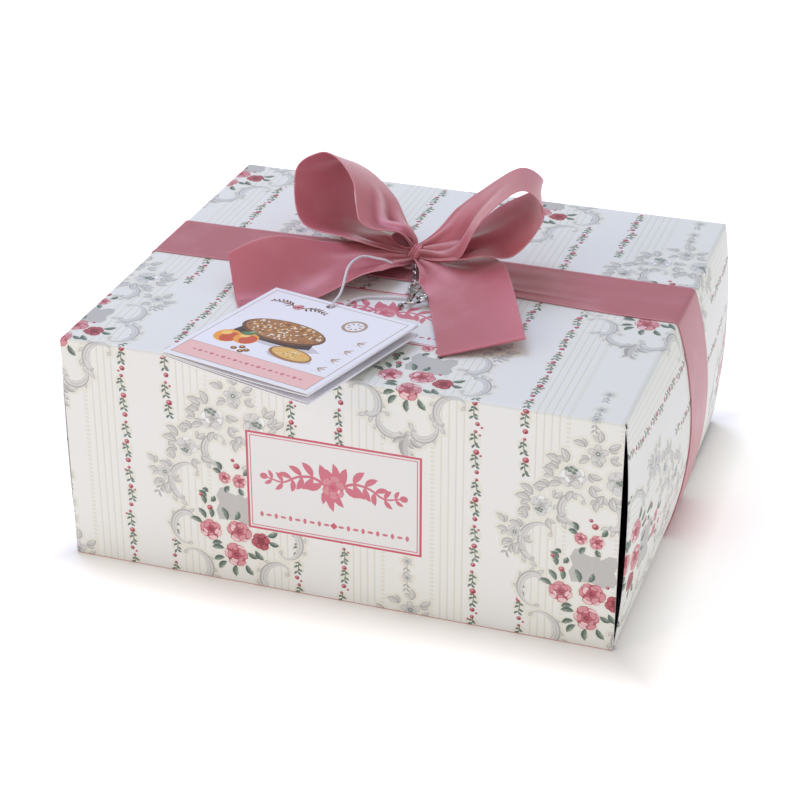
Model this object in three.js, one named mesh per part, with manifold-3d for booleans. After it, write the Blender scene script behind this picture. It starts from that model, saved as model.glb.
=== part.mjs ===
// Gift carton for a festive loaf: a shut printed carton tied with a wide satin ribbon and bow,
// with a folded leaflet tag on a white cord and a small silver charm.
// Millimetres, +Z up. The front of the carton looks along -Y and +X is its right side.
// Everything is placed from the middle of the carton's base, and the whole is then moved sideways
// so that the origin lies under the middle of the object.
import * as THREE from 'three';
import { mergeVertices } from 'three/addons/utils/BufferGeometryUtils.js';
import Module from 'manifold-3d';

const wasm = await Module();
wasm.setup();

// Carton
const CARTON_W = 270;
const CARTON_D = 234;
const CARTON_H = 117.5;
const WALL_BOW = 10.4;        // how far the side walls bow outwards, at their middle
const WALL_BOW_END = 4.4;     // the same at their front and back edges
const FLAP_CARD = 0.9;        // thickness of the front flap where its cut edge shows
const SLIT_DEEP = 7;          // the slit behind the flap's edge, into the carton
const SLIT_WIDE = 2.4;
const SLIT_START = 0.4;       // width of the slit where it closes at the lid
const FOLD_RADIUS = 1.4;
const BACK_CORNER = 3;

// Inner tray, whose rim shows under the raised right wall
const TRAY_H = 3;
const TRAY_INSET = 1.5;
const RAISED_EDGE = 3;
const RAISED_FROM = 34;       // the right wall is raised from here to the back

// Ribbon
const RIBBON_W = 41;
const RIBBON_T = 0.5;
const RIBBON_REST = 0.75;     // lowest height of a tail's middle above the lid
const BAND_Y = 9.2;           // middle of the band that goes round the carton
const BAND_GAP = 0.35;
const CHANNEL_H = 1.1;        // room under the carton for the band
const KNOT = [-2.2, 11, 126.2];

// Leaflet tag: one card folded into four leaves
const TAG_W = 83.2;
const TAG_D = 83.2;
const TAG_CARD = 0.4;
const TAG_AT = [-27.5, -96, 124.2];
const TAG_TURN = [-17, 2.2, 0.4];    // degrees: turned on the lid, right side up, far side up
const TAG_HOLE = { u: -5, v: 37.2, diameter: 4.6 };

// Cord and charm
const CORD_D = 1.5;
const LINK_WIRE = 0.8;
const LINK_WIDE = 3.7;
const LINK_OVERLAP = 1.3;     // between the wire middles of two links, along the chain
const CHARM_WIRE = 1.3;
const CHARM_AT = [8.4, -26, 120.5];
const CHARM_TURN = [3, -12, 7];       // degrees about x, y and z

const deg = THREE.MathUtils.degToRad;
const vec = (p) => new THREE.Vector3(...p);
const group = new THREE.Group();

const finishes = {
  card: { color: 0xe9e7e2, roughness: 0.55 },
  tray: { color: 0xcfc8d6, roughness: 0.7 },
  satin: { color: 0xb5697a, roughness: 0.4 },
  paper: { color: 0xf1eef2, roughness: 0.45 },
  cord: { color: 0xf4f1f2, roughness: 0.8 },
  silver: { color: 0xc9c6c0, roughness: 0.25, metalness: 1 },
};

function piece(name, geometry, finish) {
  const material = new THREE.MeshStandardMaterial(finishes[finish]);
  const mesh = new THREE.Mesh(geometry, material);
  mesh.name = name;
  return mesh;
}

// Closed mesh to solid and back, for the cuts and joins
function toSolid(geometry) {
  const bare = geometry.clone();
  bare.deleteAttribute('normal');
  bare.deleteAttribute('uv');
  const merged = mergeVertices(bare, 1e-4);
  const mesh = new wasm.Mesh({
    numProp: 3,
    vertProperties: new Float32Array(merged.attributes.position.array),
    triVerts: new Uint32Array(merged.index.array),
  });
  mesh.merge();
  return new wasm.Manifold(mesh);
}

function toGeometry(solid) {
  const mesh = solid.getMesh();
  const geometry = new THREE.BufferGeometry();
  geometry.setAttribute('position', new THREE.BufferAttribute(mesh.vertProperties, 3));
  geometry.setIndex(new THREE.BufferAttribute(mesh.triVerts, 1));
  geometry.computeVertexNormals();
  return geometry;
}

function block(x0, x1, y0, y1, z0, z1) {
  const box = new THREE.BoxGeometry(x1 - x0, y1 - y0, z1 - z0);
  box.translate((x0 + x1) / 2, (y0 + y1) / 2, (z0 + z1) / 2);
  return toSolid(box);
}

function meshOf(points, triangles) {
  const geometry = new THREE.BufferGeometry();
  const flat = points.flatMap((p) => [p.x, p.y, p.z]);
  geometry.setAttribute('position', new THREE.Float32BufferAttribute(flat, 3));
  geometry.setIndex(triangles.flat());
  geometry.computeVertexNormals();
  return geometry;
}

// How far a side wall stands out of the carton's rectangle: most at half height and mid depth
function wallOut(y, z) {
  const up = Math.sin(Math.PI * THREE.MathUtils.clamp(z / CARTON_H, 0, 1)) ** 0.8;
  const along = Math.cos(Math.PI * THREE.MathUtils.clamp(y / CARTON_D, -0.5, 0.5));
  return up * THREE.MathUtils.lerp(WALL_BOW_END, WALL_BOW, along);
}

// One level of the carton's outline, from the middle of the front round to the left
function cartonLevel(z, inset) {
  const w = CARTON_W / 2;
  const d = CARTON_D / 2;
  const open = Math.sin(Math.PI * THREE.MathUtils.clamp(z / CARTON_H, 0, 1)) ** 0.7;
  const wide = SLIT_START + SLIT_WIDE * open;
  const deep = SLIT_START + SLIT_DEEP * open;
  const wallFront = -d + FLAP_CARD + wide;
  const right = [];
  for (const f of [0, 0.25, 0.5, 0.75, 1]) right.push([f * w, -d]);
  right.push([w, -d + FLAP_CARD]);
  right.push([w - deep, -d + FLAP_CARD]);
  right.push([w - deep, wallFront]);
  const steps = 12;
  for (let i = 0; i <= steps; i++) {
    const y = THREE.MathUtils.lerp(wallFront, d - BACK_CORNER, i / steps);
    right.push([w + wallOut(y, z), y]);
  }
  const corner = w + wallOut(d, z) - BACK_CORNER;
  for (const a of [45, 90]) {
    const turn = deg(a);
    right.push([corner + BACK_CORNER * Math.cos(turn), d - BACK_CORNER * (1 - Math.sin(turn))]);
  }
  for (const f of [0.66, 0.33, 0]) right.push([f * corner, d]);
  const left = right.slice(1, -1).reverse().map(([x, y]) => [-x, y]);
  const shrink = (v, half) => v - Math.sign(v) * inset * Math.min(1, Math.abs(v) / half);
  return [...right, ...left].map(([x, y]) => new THREE.Vector3(shrink(x, w), shrink(y, d), z));
}

// Heights of the wall's levels, and how far each level of the rounded fold draws in above them
const wallLevels = [1.2, 7, 16, 28, 42, 58, 74, 88, 99, 107, 112.5, CARTON_H - FOLD_RADIUS];
const foldLevels = [45, 90].map((a) => ({
  angle: deg(a),
  z: CARTON_H - FOLD_RADIUS * (1 - Math.sin(deg(a))),
  inset: FOLD_RADIUS * (1 - Math.cos(deg(a))),
}));

function cartonBody() {
  const rings = [cartonLevel(0, 0.5)];
  for (const z of wallLevels) rings.push(cartonLevel(z, 0));
  for (const { z, inset } of foldLevels) rings.push(cartonLevel(z, inset));
  const n = rings[0].length;
  const triangles = [];
  for (let k = 0; k < rings.length - 1; k++) {
    for (let i = 0; i < n; i++) {
      const a = k * n + i;
      const b = k * n + (i + 1) % n;
      triangles.push([a, b, b + n], [a, b + n, a + n]);
    }
  }
  const top = (rings.length - 1) * n;
  const flat = (ring) => ring.map((p) => new THREE.Vector2(p.x, p.y));
  for (const [a, b, c] of THREE.ShapeUtils.triangulateShape(flat(rings[0]), [])) {
    triangles.push([a, c, b]);
  }
  for (const [a, b, c] of THREE.ShapeUtils.triangulateShape(flat(rings.at(-1)), [])) {
    triangles.push([top + a, top + b, top + c]);
  }
  return meshOf(rings.flat(), triangles);
}

// The band's channel under the carton and the tray
function bandChannel() {
  const half = RIBBON_W / 2 + 1;
  return block(-CARTON_W, CARTON_W, BAND_Y - half, BAND_Y + half, -1, CHANNEL_H);
}

// What is cut away under the right wall, rising towards the back
function raisedEdgeCut() {
  const side = new THREE.Shape();
  side.moveTo(RAISED_FROM, -1);
  side.lineTo(CARTON_D, -1);
  side.lineTo(CARTON_D, RAISED_EDGE);
  side.lineTo(CARTON_D / 2 - 20, RAISED_EDGE);
  side.lineTo(RAISED_FROM, 0.02);
  const wedge = new THREE.ExtrudeGeometry(side, { depth: 40, bevelEnabled: false });
  wedge.rotateX(Math.PI / 2);
  wedge.rotateZ(Math.PI / 2);
  wedge.translate(CARTON_W / 2 - TRAY_INSET, 0, 0);
  return toSolid(wedge);
}

function carton() {
  const x = CARTON_W / 2 - TRAY_INSET + 0.4;
  const y = CARTON_D / 2 - TRAY_INSET + 0.4;
  const pocket = block(-x, x, -y, y, -1, TRAY_H + 0.4);
  const body = toSolid(cartonBody()).subtract(pocket).subtract(bandChannel());
  return toGeometry(body.subtract(raisedEdgeCut()));
}

function tray() {
  const x = CARTON_W / 2 - TRAY_INSET;
  const y = CARTON_D / 2 - TRAY_INSET;
  return toGeometry(block(-x, x, -y, y, 0, TRAY_H).subtract(bandChannel()));
}

// A ribbon is a closed thin solid. Its stations give the middle of the ribbon and the direction
// across it, and the rows between them follow a curve through the stations.
function ribbon({ stations, rows, columns, gatherStart, gatherEnd, startHalf, pleats, sag, skew }) {
  const middle = new THREE.CatmullRomCurve3(stations.map((s) => vec(s.at)), false, 'catmullrom', 0.5);
  const across = new THREE.CatmullRomCurve3(stations.map((s) => vec(s.across)), false, 'catmullrom', 0.5);
  const ends = [middle.getPoint(0), middle.getPoint(1)];
  const front = [];
  const back = [];
  for (let i = 0; i <= rows; i++) {
    const u = i / rows;
    const c = middle.getPoint(u);
    const along = middle.getTangent(u);
    const w = across.getPoint(u).normalize();
    const normal = new THREE.Vector3().crossVectors(along, w).normalize();
    const opened = Math.min(
      THREE.MathUtils.smoothstep(c.distanceTo(ends[0]), 0, gatherStart || 1e-6),
      gatherEnd ? THREE.MathUtils.smoothstep(c.distanceTo(ends[1]), 0, gatherEnd) : 1,
    );
    const half = THREE.MathUtils.lerp(startHalf, RIBBON_W / 2, opened);
    const cut = skew * THREE.MathUtils.smoothstep(u, 0.5, 1);
    const hang = THREE.MathUtils.smoothstep(u, 0.1, 0.7);
    for (let j = 0; j <= columns; j++) {
      const v = 2 * j / columns - 1;
      const fold = pleats.deep * (1 - opened) * Math.sin(Math.PI * (pleats.waves * v + 0.25));
      const dip = sag * hang * opened * (1 - v * v) * (1 - 0.5 * v);
      const p = c.clone().addScaledVector(w, half * v).addScaledVector(along, cut * v);
      p.addScaledVector(normal, fold + dip);
      p.z = Math.max(p.z, CARTON_H + RIBBON_REST);
      front.push(p.clone().addScaledVector(normal, RIBBON_T / 2));
      back.push(p.addScaledVector(normal, -RIBBON_T / 2));
    }
  }
  const n = columns + 1;
  const size = front.length;
  const triangles = [];
  const quad = (a, b, c, d) => triangles.push([a, b, c], [a, c, d]);
  for (let i = 0; i < rows; i++) {
    for (let j = 0; j < columns; j++) {
      const a = i * n + j;
      quad(a, a + n, a + n + 1, a + 1);
      quad(size + a, size + a + 1, size + a + n + 1, size + a + n);
    }
    const near = i * n;
    const far = i * n + columns;
    quad(near, size + near, size + near + n, near + n);
    quad(far, far + n, size + far + n, size + far);
  }
  for (let j = 0; j < columns; j++) {
    const last = rows * n + j;
    quad(j, j + 1, size + j + 1, size + j);
    quad(last, size + last, size + last + 1, last + 1);
  }
  return meshOf([...front, ...back], triangles);
}

const bowPleats = { waves: 1.5, deep: 1.1 };

function bowLoop(stations) {
  return ribbon({
    stations, rows: 44, columns: 10, gatherStart: 26, gatherEnd: 24,
    startHalf: 3.5, pleats: bowPleats, sag: 0, skew: 0,
  });
}

function bowTail(stations, sag, skew) {
  return ribbon({
    stations, rows: 26, columns: 10, gatherStart: 28, gatherEnd: 0,
    startHalf: 3, pleats: bowPleats, sag, skew,
  });
}

// Each loop leaves the knot with its lower strand and comes back with its upper one
const loopRight = [
  { at: [2.2, 12, 124.4], across: [0, 0.89, 0.3] },
  { at: [25.5, 13.2, 133.7], across: [-0.36, 0.93, -0.07] },
  { at: [42.7, 18.9, 140.6], across: [-0.41, 0.88, 0.24] },
  { at: [56.9, 22.4, 154.8], across: [-0.38, 0.92, -0.05] },
  { at: [56.3, 23.6, 163.6], across: [-0.14, 0.97, -0.19] },
  { at: [45.9, 22.1, 166.1], across: [-0.2, 0.98, -0.08] },
  { at: [29, 15.3, 152.2], across: [-0.31, 0.95, -0.03] },
  { at: [15.9, 13.1, 134.5], across: [-0.29, 0.9, 0.32] },
  { at: [1.8, 11, 128.4], across: [-0.13, 0.85, 0.4] },
];

const loopLeft = [
  { at: [-6.6, 13.5, 124.2], across: [0.27, 0.94, -0.22] },
  { at: [-27.2, 22, 125.6], across: [0.4, 0.87, -0.3] },
  { at: [-55.5, 35.3, 126], across: [0.48, 0.84, -0.25] },
  { at: [-64, 48.5, 145.4], across: [0.46, 0.82, -0.33] },
  { at: [-60.6, 52, 154.5], across: [0.03, 0.9, -0.43] },
  { at: [-48.3, 50.2, 152.1], across: [0.12, 0.87, -0.48] },
  { at: [-32.7, 39.8, 144.7], across: [0.36, 0.7, -0.61] },
  { at: [-18.9, 20, 132.5], across: [0.49, 0.74, -0.46] },
  { at: [-6.2, 12, 128.6], across: [-0.06, 0.85, -0.5] },
];

const tailLeft = [
  { at: [-6.4, 6.8, 123.4], across: [-0.2, 0.85, 0.35] },
  { at: [-14.9, 0.5, 126.4], across: [-0.65, 0.76, -0.02] },
  { at: [-30.9, -13, 129], across: [-0.71, 0.7, 0.03] },
  { at: [-53.1, -36.3, 129.5], across: [-0.62, 0.58, 0.53] },
  { at: [-73.8, -52.4, 126.6], across: [-0.47, 0.81, 0.36] },
];

const tailRight = [
  { at: [2.4, 7, 121.8], across: [0.5, 0.8, -0.2] },
  { at: [14.9, 1.4, 125.2], across: [0.52, 0.85, -0.03] },
  { at: [27.2, -8.1, 126.3], across: [0.73, 0.65, 0.2] },
  { at: [36.7, -24.9, 126.1], across: [0.86, 0.41, 0.31] },
  { at: [57.4, -72.5, 121.4], across: [0.87, 0.47, 0.15] },
];

// One edge line of the band, out from the carton's surface: over the lid, down the right wall,
// under the tray and up the left wall
function bandLine(y, out) {
  const w = CARTON_W / 2;
  const half = [[0, CARTON_H + out], [0.45 * w, CARTON_H + out], [0.9 * w, CARTON_H + out]];
  for (const { angle, z, inset } of foldLevels.toReversed()) {
    half.push([w + wallOut(y, z) - inset + out * Math.cos(angle), z + out * Math.sin(angle)]);
  }
  for (const z of wallLevels.toReversed()) half.push([w + wallOut(y, z) + out, z]);
  half.push([w + wallOut(y, CHANNEL_H) + 0.7 * out, CHANNEL_H - 0.7 * out]);
  half.push([0.9 * w, CHANNEL_H - out], [0.45 * w, CHANNEL_H - out], [0, CHANNEL_H - out]);
  const other = half.slice(1, -1).reverse().map(([x, z]) => [-x, z]);
  return [...half, ...other].map(([x, z]) => new THREE.Vector3(x, y, z));
}

// The band lies on the carton all the way round, in its channel underneath
function band() {
  const y = [-1, 0, 1].map((v) => BAND_Y + v * RIBBON_W / 2);
  const section = [
    [y[0], BAND_GAP], [y[1], BAND_GAP], [y[2], BAND_GAP],
    [y[2], BAND_GAP + RIBBON_T], [y[1], BAND_GAP + RIBBON_T], [y[0], BAND_GAP + RIBBON_T],
  ];
  const lines = section.map(([across, out]) => bandLine(across, out));
  const n = lines[0].length;
  const triangles = [];
  for (let k = 0; k < lines.length; k++) {
    const a = k * n;
    const b = ((k + 1) % lines.length) * n;
    for (let i = 0; i < n; i++) {
      const j = (i + 1) % n;
      triangles.push([a + i, b + j, a + j], [a + i, b + i, b + j]);
    }
  }
  return meshOf(lines.flat(), triangles);
}

// The knot is a short barrel, creased where the ribbon wraps it
function knot() {
  const geometry = new THREE.SphereGeometry(1, 20, 12);
  const place = geometry.attributes.position;
  for (let i = 0; i < place.count; i++) {
    const [x, y, z] = [place.getX(i), place.getY(i), place.getZ(i)];
    const crease = 1 + 0.06 * Math.cos(6 * Math.atan2(x, Math.hypot(y, z)));
    place.setXYZ(i, 3.3 * x, 5.2 * y * crease, 5 * z * crease);
  }
  geometry.rotateX(deg(-12));
  geometry.translate(...KNOT);
  return toGeometry(toSolid(geometry));
}

// The leaves of the tag, as heights below the cover along its width from left (0) to right (1)
const tagLeaves = [
  () => 0,
  (f) => -0.75 - 0.3 * f - 1.2 * Math.sin(Math.PI * f),
  (f) => -1.5 - 3 * f - 0.2 * Math.sin(Math.PI * f),
  (f) => -2.25 - 3.25 * f - 0.5 * Math.sin(Math.PI * f),
];

function tag() {
  const steps = 8;
  const middle = [];
  tagLeaves.forEach((leaf, k) => {
    for (let i = 0; i <= steps; i++) {
      const f = k % 2 ? 1 - i / steps : i / steps;
      middle.push(new THREE.Vector2((f - 0.5) * TAG_W, leaf(f)));
    }
  });
  // Offset the folded line to both sides. At a fold the outer side is drawn out by half the card
  // and the inner side is drawn in.
  const upper = [];
  const lower = [];
  middle.forEach((p, i) => {
    const leaf = Math.floor(i / (steps + 1));
    const last = i % (steps + 1) === steps && leaf < tagLeaves.length - 1;
    const first = i % (steps + 1) === 0 && leaf > 0;
    const up = leaf % 2 ? -1 : 1;
    const out = last || first ? TAG_CARD / 2 : 0;
    upper.push(new THREE.Vector2(p.x + out, p.y + up * TAG_CARD / 2));
    lower.push(new THREE.Vector2(p.x - out, p.y - up * TAG_CARD / 2));
  });
  const outline = new THREE.Shape([...lower, ...upper.reverse()]);
  const card = new THREE.ExtrudeGeometry(outline, { depth: TAG_D, bevelEnabled: false });
  card.rotateX(Math.PI / 2);
  card.translate(0, TAG_D / 2, -TAG_CARD / 2);
  const punch = new THREE.CylinderGeometry(TAG_HOLE.diameter / 2, TAG_HOLE.diameter / 2, 30, 20);
  punch.rotateX(Math.PI / 2);
  punch.translate(TAG_HOLE.u, TAG_HOLE.v, 0);
  const mesh = piece('tag', toGeometry(toSolid(card).subtract(toSolid(punch))), 'paper');
  mesh.rotation.order = 'ZYX';
  mesh.rotation.set(deg(TAG_TURN[2]), deg(-TAG_TURN[1]), deg(TAG_TURN[0]));
  mesh.position.set(...TAG_AT);
  return mesh;
}

// The cord comes out of the bow, arches over the left tail, goes down through the tag's hole and
// lies on the lid from under the tag to the charm.
const cordRoute = [
  [-13, 3, 122], [-10.4, -2.6, 122.6], [-8.2, -6.4, 123.7], [-7.2, -8.4, 125.4], [-8.2, -9.2, 127.8],
  [-11.6, -8.9, 129], [-16, -8.5, 129], [-19.9, -8.2, 129.1], [-22.2, -9.8, 129.6],
  [-23.4, -15.4, 130.8], [-23.9, -21, 131.2], [-23.8, -28, 130.9], [-22, -37, 130.2],
  [-20.2, -45.5, 128.9], [-19.6, -52, 127.5], [-20.4, -57, 126.2], [-21.3, -59.7, 123.4],
  [-21.3, -59.4, 121.2], [-20.8, -58, 119], [-19.7, -52.6, 118.5], [-19.6, -45.8, 118.5],
  [-19.3, -41, 118.5], [-17.8, -36.6, 118.5], [-13.6, -32, 118.5], [-7, -29.4, 118.5],
  [0, -27.7, 118.5], [6, -26.4, 118.5],
];

function tube(points, diameter, sides, steps) {
  const section = new THREE.Shape();
  section.absarc(0, 0, diameter / 2, 0, 2 * Math.PI);
  const path = new THREE.CatmullRomCurve3(points.map(vec), false, 'centripetal');
  return new THREE.ExtrudeGeometry(section, {
    extrudePath: path, steps, curveSegments: sides / 2, bevelEnabled: false,
  });
}

// A wire ring, drawn out to a link when long is more than wide
function ring(name, { at, long, wide, wire, along, roll }, finish) {
  const geometry = new THREE.TorusGeometry(1, 0.5, 6, 14);
  const place = geometry.attributes.position;
  for (let i = 0; i < place.count; i++) {
    const [x, y, z] = [place.getX(i), place.getY(i), place.getZ(i)];
    const a = Math.atan2(y, x);
    const out = (Math.hypot(x, y) - 1) * wire;
    const rx = (long - wire) / 2 + out;
    const ry = (wide - wire) / 2 + out;
    place.setXYZ(i, rx * Math.cos(a), ry * Math.sin(a), z * wire);
  }
  const mesh = piece(name, toGeometry(toSolid(geometry)), finish);
  const x = vec(along).normalize();
  const y = new THREE.Vector3(0, 0, 1).cross(x).normalize().applyAxisAngle(x, deg(roll));
  const z = new THREE.Vector3().crossVectors(x, y);
  mesh.quaternion.setFromRotationMatrix(new THREE.Matrix4().makeBasis(x, y, z));
  mesh.position.set(...at);
  return mesh;
}

// The chain's first link hangs in the cord loop and its last one holds the charm's wire
const chainTop = vec([-3.1, 4.7, 120.5]);
const chainEnd = vec([6.4, -15.8, 121]);
const linkCount = 5;

function chain() {
  const along = chainEnd.clone().sub(chainTop);
  const pitch = (along.length() - LINK_OVERLAP) / linkCount;
  const parts = [];
  for (let i = 0; i < linkCount; i++) {
    const start = (LINK_OVERLAP / 2 + pitch * (i + 0.5)) / along.length();
    parts.push(ring(`charm_link_${i + 1}`, {
      at: chainTop.clone().addScaledVector(along, start).toArray(),
      long: pitch + LINK_OVERLAP + LINK_WIRE, wide: LINK_WIDE, wire: LINK_WIRE,
      along: along.toArray(), roll: i % 2 ? 0 : 90,
    }, 'silver'));
  }
  return parts;
}

// Openwork charm of bent wire: a drop that stands on a curl, with a small rose at its right
function charm() {
  const drop = [
    [0.6, 12.4, 0], [-1.4, 12.2, 0], [-2.7, 10.4, 0], [-2.3, 5, 0], [-1.5, 0, 0], [-1.1, -4.5, 0],
    [-0.6, -8.3, 0], [0.4, -4.5, 0], [0.9, 0, 0], [2.1, 5, 0], [2.8, 9.2, 0], [2.2, 11.6, 0], [0.75, 12.45, 0],
  ];
  const curl = [
    [-3.4, -11.2, 0], [-4.8, -10.2, 0], [-4.3, -8.4, 0], [-1.6, -8.2, 0], [1.5, -9, 0], [4.6, -8.8, 0], [7.4, -7, 0],
  ];
  const ball = new THREE.SphereGeometry(1.1, 10, 8);
  ball.translate(-3.4, -11.2, 0);
  const rose = new THREE.SphereGeometry(2.9, 14, 8);
  rose.scale(1, 1, 0.5);
  rose.translate(6, -4.9, 0.2);
  const parts = [tube(drop, CHARM_WIRE, 6, 44), tube(curl, CHARM_WIRE, 6, 24), ball, rose].map(toSolid);
  const joined = parts.reduce((all, one) => all.add(one));
  const mesh = piece('charm', toGeometry(joined), 'silver');
  mesh.rotation.order = 'ZYX';
  mesh.rotation.set(...CHARM_TURN.map(deg));
  mesh.position.set(...CHARM_AT);
  return mesh;
}

group.add(piece('carton', carton(), 'card'));
group.add(piece('carton_tray', tray(), 'tray'));
group.add(piece('ribbon_band', band(), 'satin'));
group.add(piece('bow_knot', knot(), 'satin'));
group.add(piece('bow_loop_right', bowLoop(loopRight), 'satin'));
group.add(piece('bow_loop_left', bowLoop(loopLeft), 'satin'));
group.add(piece('bow_tail_right', bowTail(tailRight, 0, 0.5), 'satin'));
group.add(piece('bow_tail_left', bowTail(tailLeft, 6.5, 0), 'satin'));
group.add(tag());
group.add(piece('tag_string', tube(cordRoute, CORD_D, 8, 64), 'cord'));
group.add(ring('charm_loop', {
  at: [-5.1, 6.2, 120.6], long: 9.6, wide: 4.6, wire: 1.1, along: [0.81, -0.58, -0.05], roll: 0,
}, 'satin'));
group.add(...chain());
group.add(charm());

// Bring the origin under the middle of the object, leaving the free cord out of the measure
const box = new THREE.Box3();
for (const mesh of group.children) {
  if (mesh.name !== 'tag_string') box.expandByObject(mesh, true);
}
const centre = box.getCenter(new THREE.Vector3());
group.position.set(-centre.x, -centre.y, -box.min.z);

export default group;
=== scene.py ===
"""Gift carton for a festive loaf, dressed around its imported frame: printed card panels, a satin
ribbon tied in a bow, a folded leaflet on a white cord, and a small silver charm.

Shapes are worked out in millimetres in the carton's own frame, whose origin is the middle of the
carton's base, with the front along -Y. placed() moves them into the row frame, in metres."""

import math
import random

import bpy
import numpy as np
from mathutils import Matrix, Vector
from mathutils.geometry import delaunay_2d_cdt


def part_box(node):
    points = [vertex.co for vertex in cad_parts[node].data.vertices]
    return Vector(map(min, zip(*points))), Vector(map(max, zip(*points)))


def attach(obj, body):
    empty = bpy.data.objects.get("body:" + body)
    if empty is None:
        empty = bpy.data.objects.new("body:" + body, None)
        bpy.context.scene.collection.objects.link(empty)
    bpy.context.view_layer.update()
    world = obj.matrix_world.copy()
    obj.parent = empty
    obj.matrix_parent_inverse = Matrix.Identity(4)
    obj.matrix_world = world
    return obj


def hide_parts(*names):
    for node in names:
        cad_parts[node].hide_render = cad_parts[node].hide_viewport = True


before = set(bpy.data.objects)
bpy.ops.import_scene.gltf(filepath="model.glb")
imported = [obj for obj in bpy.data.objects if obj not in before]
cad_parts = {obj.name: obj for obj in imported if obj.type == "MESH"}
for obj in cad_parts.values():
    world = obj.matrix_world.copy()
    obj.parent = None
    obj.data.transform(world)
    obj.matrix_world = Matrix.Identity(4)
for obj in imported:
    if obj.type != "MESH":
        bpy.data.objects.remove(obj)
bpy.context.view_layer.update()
random.seed(31)

MM = 1000                     # in a metre

# Carton, as in the part
CARTON_W = 270
CARTON_D = 234
CARTON_H = 117.5
WALL_BOW = 10.4
WALL_BOW_END = 4.4
SLIT_WIDE = 2.4
SLIT_START = 0.4
SLIT_BEHIND = 0.9             # from the front's face to the near side of the slit
FOLD_RADIUS = 1.4
BACK_CORNER = 3
RAISED_EDGE = 3
RAISED_FROM = 34
RAISED_FULL = 97
CHANNEL_H = 1.1
CARD = 0.5

# Ribbon
RIBBON_W = 41
RIBBON_T = 0.45
RIBBON_REST = 0.75
BAND_Y = 9.2
BAND_LIFT = 0.45              # middle of the band above the card
KNOT = (-2.2, 11, 126.2)

# Leaflet
TAG_W = 83.2
TAG_CARD = 0.4
TAG_AT = (-27.5, -96, 124.2)
TAG_TURN = (-17, 2.2, 0.4)
TAG_HOLE = (-5, 37.2, 4.6)    # across, towards the far side, diameter

# Cord, chain and charm
CORD_D = 1.5
LINK_WIRE = 0.8
LINK_WIDE = 3.7
LINK_OVERLAP = 1.3
LINK_COUNT = 5
CHAIN_TOP = (-0.4, 6.2, 122.4)
CHAIN_END = (6.4, -15.8, 121)
CHARM_WIRE = 1.3
CHARM_AT = (8.4, -26, 120.5)
CHARM_TURN = (3, -12, 7)

carton_low, carton_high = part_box("carton")
MIDDLE = np.array([(carton_low.x + carton_high.x) / 2, (carton_low.y + carton_high.y) / 2, 0])


def placed(points):
    """Points of the carton's frame, in millimetres, as points of the row frame, in metres."""
    return np.asarray(points, float) / MM + MIDDLE


# Camera

VIEW_AZIMUTH = math.radians(18.488)
VIEW_ELEVATION = math.radians(27.774)
VIEW_TARGET = (-8.16, 4.58, 45.0)
VIEW_DISTANCE = 1077.5
VIEW_LENS = 94.2
VIEW_SENSOR = 36

camera = bpy.data.objects.new("camera", bpy.data.cameras.new("camera"))
bpy.context.scene.collection.objects.link(camera)
camera.data.lens = VIEW_LENS
camera.data.sensor_width = VIEW_SENSOR
camera.data.clip_start = 0.05
eye = np.array(VIEW_TARGET) + VIEW_DISTANCE * np.array([
    math.sin(VIEW_AZIMUTH) * math.cos(VIEW_ELEVATION),
    -math.cos(VIEW_AZIMUTH) * math.cos(VIEW_ELEVATION),
    math.sin(VIEW_ELEVATION),
])
camera.location = Vector(placed(eye))
sight = Vector(placed(VIEW_TARGET)) - camera.location
camera.rotation_euler = sight.to_track_quat("-Z", "Y").to_euler()
bpy.context.scene.camera = camera
bpy.context.scene.view_settings.view_transform = "Standard"


# Curves and meshes

def curve_through(stations, count, centripetal=False):
    """Points on the smooth curve through the stations, at even steps of its parameter."""
    p = np.asarray(stations, float)
    p = np.vstack([2 * p[0] - p[1], p, 2 * p[-1] - p[-2]])
    found = []
    for u in np.linspace(0, len(p) - 3, count):
        k = min(int(u), len(p) - 4)
        t = u - k
        a, b, c, d = p[k:k + 4]
        if centripetal:
            x, y, z = (max(np.linalg.norm(r - q) ** 0.5, 1e-4) for q, r in ((a, b), (b, c), (c, d)))
            leave = ((b - a) / x - (c - a) / (x + y) + (c - b) / y) * y
            arrive = ((c - b) / y - (d - b) / (y + z) + (d - c) / z) * y
        else:
            leave = (c - a) / 2
            arrive = (d - b) / 2
        found.append((2 * t**3 - 3 * t**2 + 1) * b + (t**3 - 2 * t**2 + t) * leave
                     + (3 * t**2 - 2 * t**3) * c + (t**3 - t**2) * arrive)
    return np.array(found)


def unit(v):
    v = np.asarray(v, float)
    return v / np.maximum(np.linalg.norm(v, axis=-1, keepdims=True), 1e-12)


def smooth(x, low, high):
    t = np.clip((np.asarray(x, float) - low) / (high - low), 0, 1)
    return t * t * (3 - 2 * t)


def length_of(points):
    return float(np.linalg.norm(np.diff(points, axis=0), axis=1).sum())


def turn_matrix(x, y, z):
    """Turn about x, then y, then z, in degrees."""
    cx, cy, cz = (math.cos(math.radians(a)) for a in (x, y, z))
    sx, sy, sz = (math.sin(math.radians(a)) for a in (x, y, z))
    about_x = np.array([[1, 0, 0], [0, cx, -sx], [0, sx, cx]])
    about_y = np.array([[cy, 0, sy], [0, 1, 0], [-sy, 0, cy]])
    about_z = np.array([[cz, -sz, 0], [sz, cz, 0], [0, 0, 1]])
    return about_z @ about_y @ about_x


def dressed(name, points, faces, finish, slot, node):
    """A mesh piece at its place, riding on the pack and standing for a node. Its finish is a material."""
    mesh = bpy.data.meshes.new(name)
    mesh.from_pydata(placed(points).tolist(), [], faces)
    mesh.polygons.foreach_set("use_smooth", [True] * len(mesh.polygons))
    mesh.materials.append(finish)
    piece = bpy.data.objects.new(name, mesh)
    bpy.context.scene.collection.objects.link(piece)
    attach(piece, "root")
    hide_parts(node)
    return piece


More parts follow.
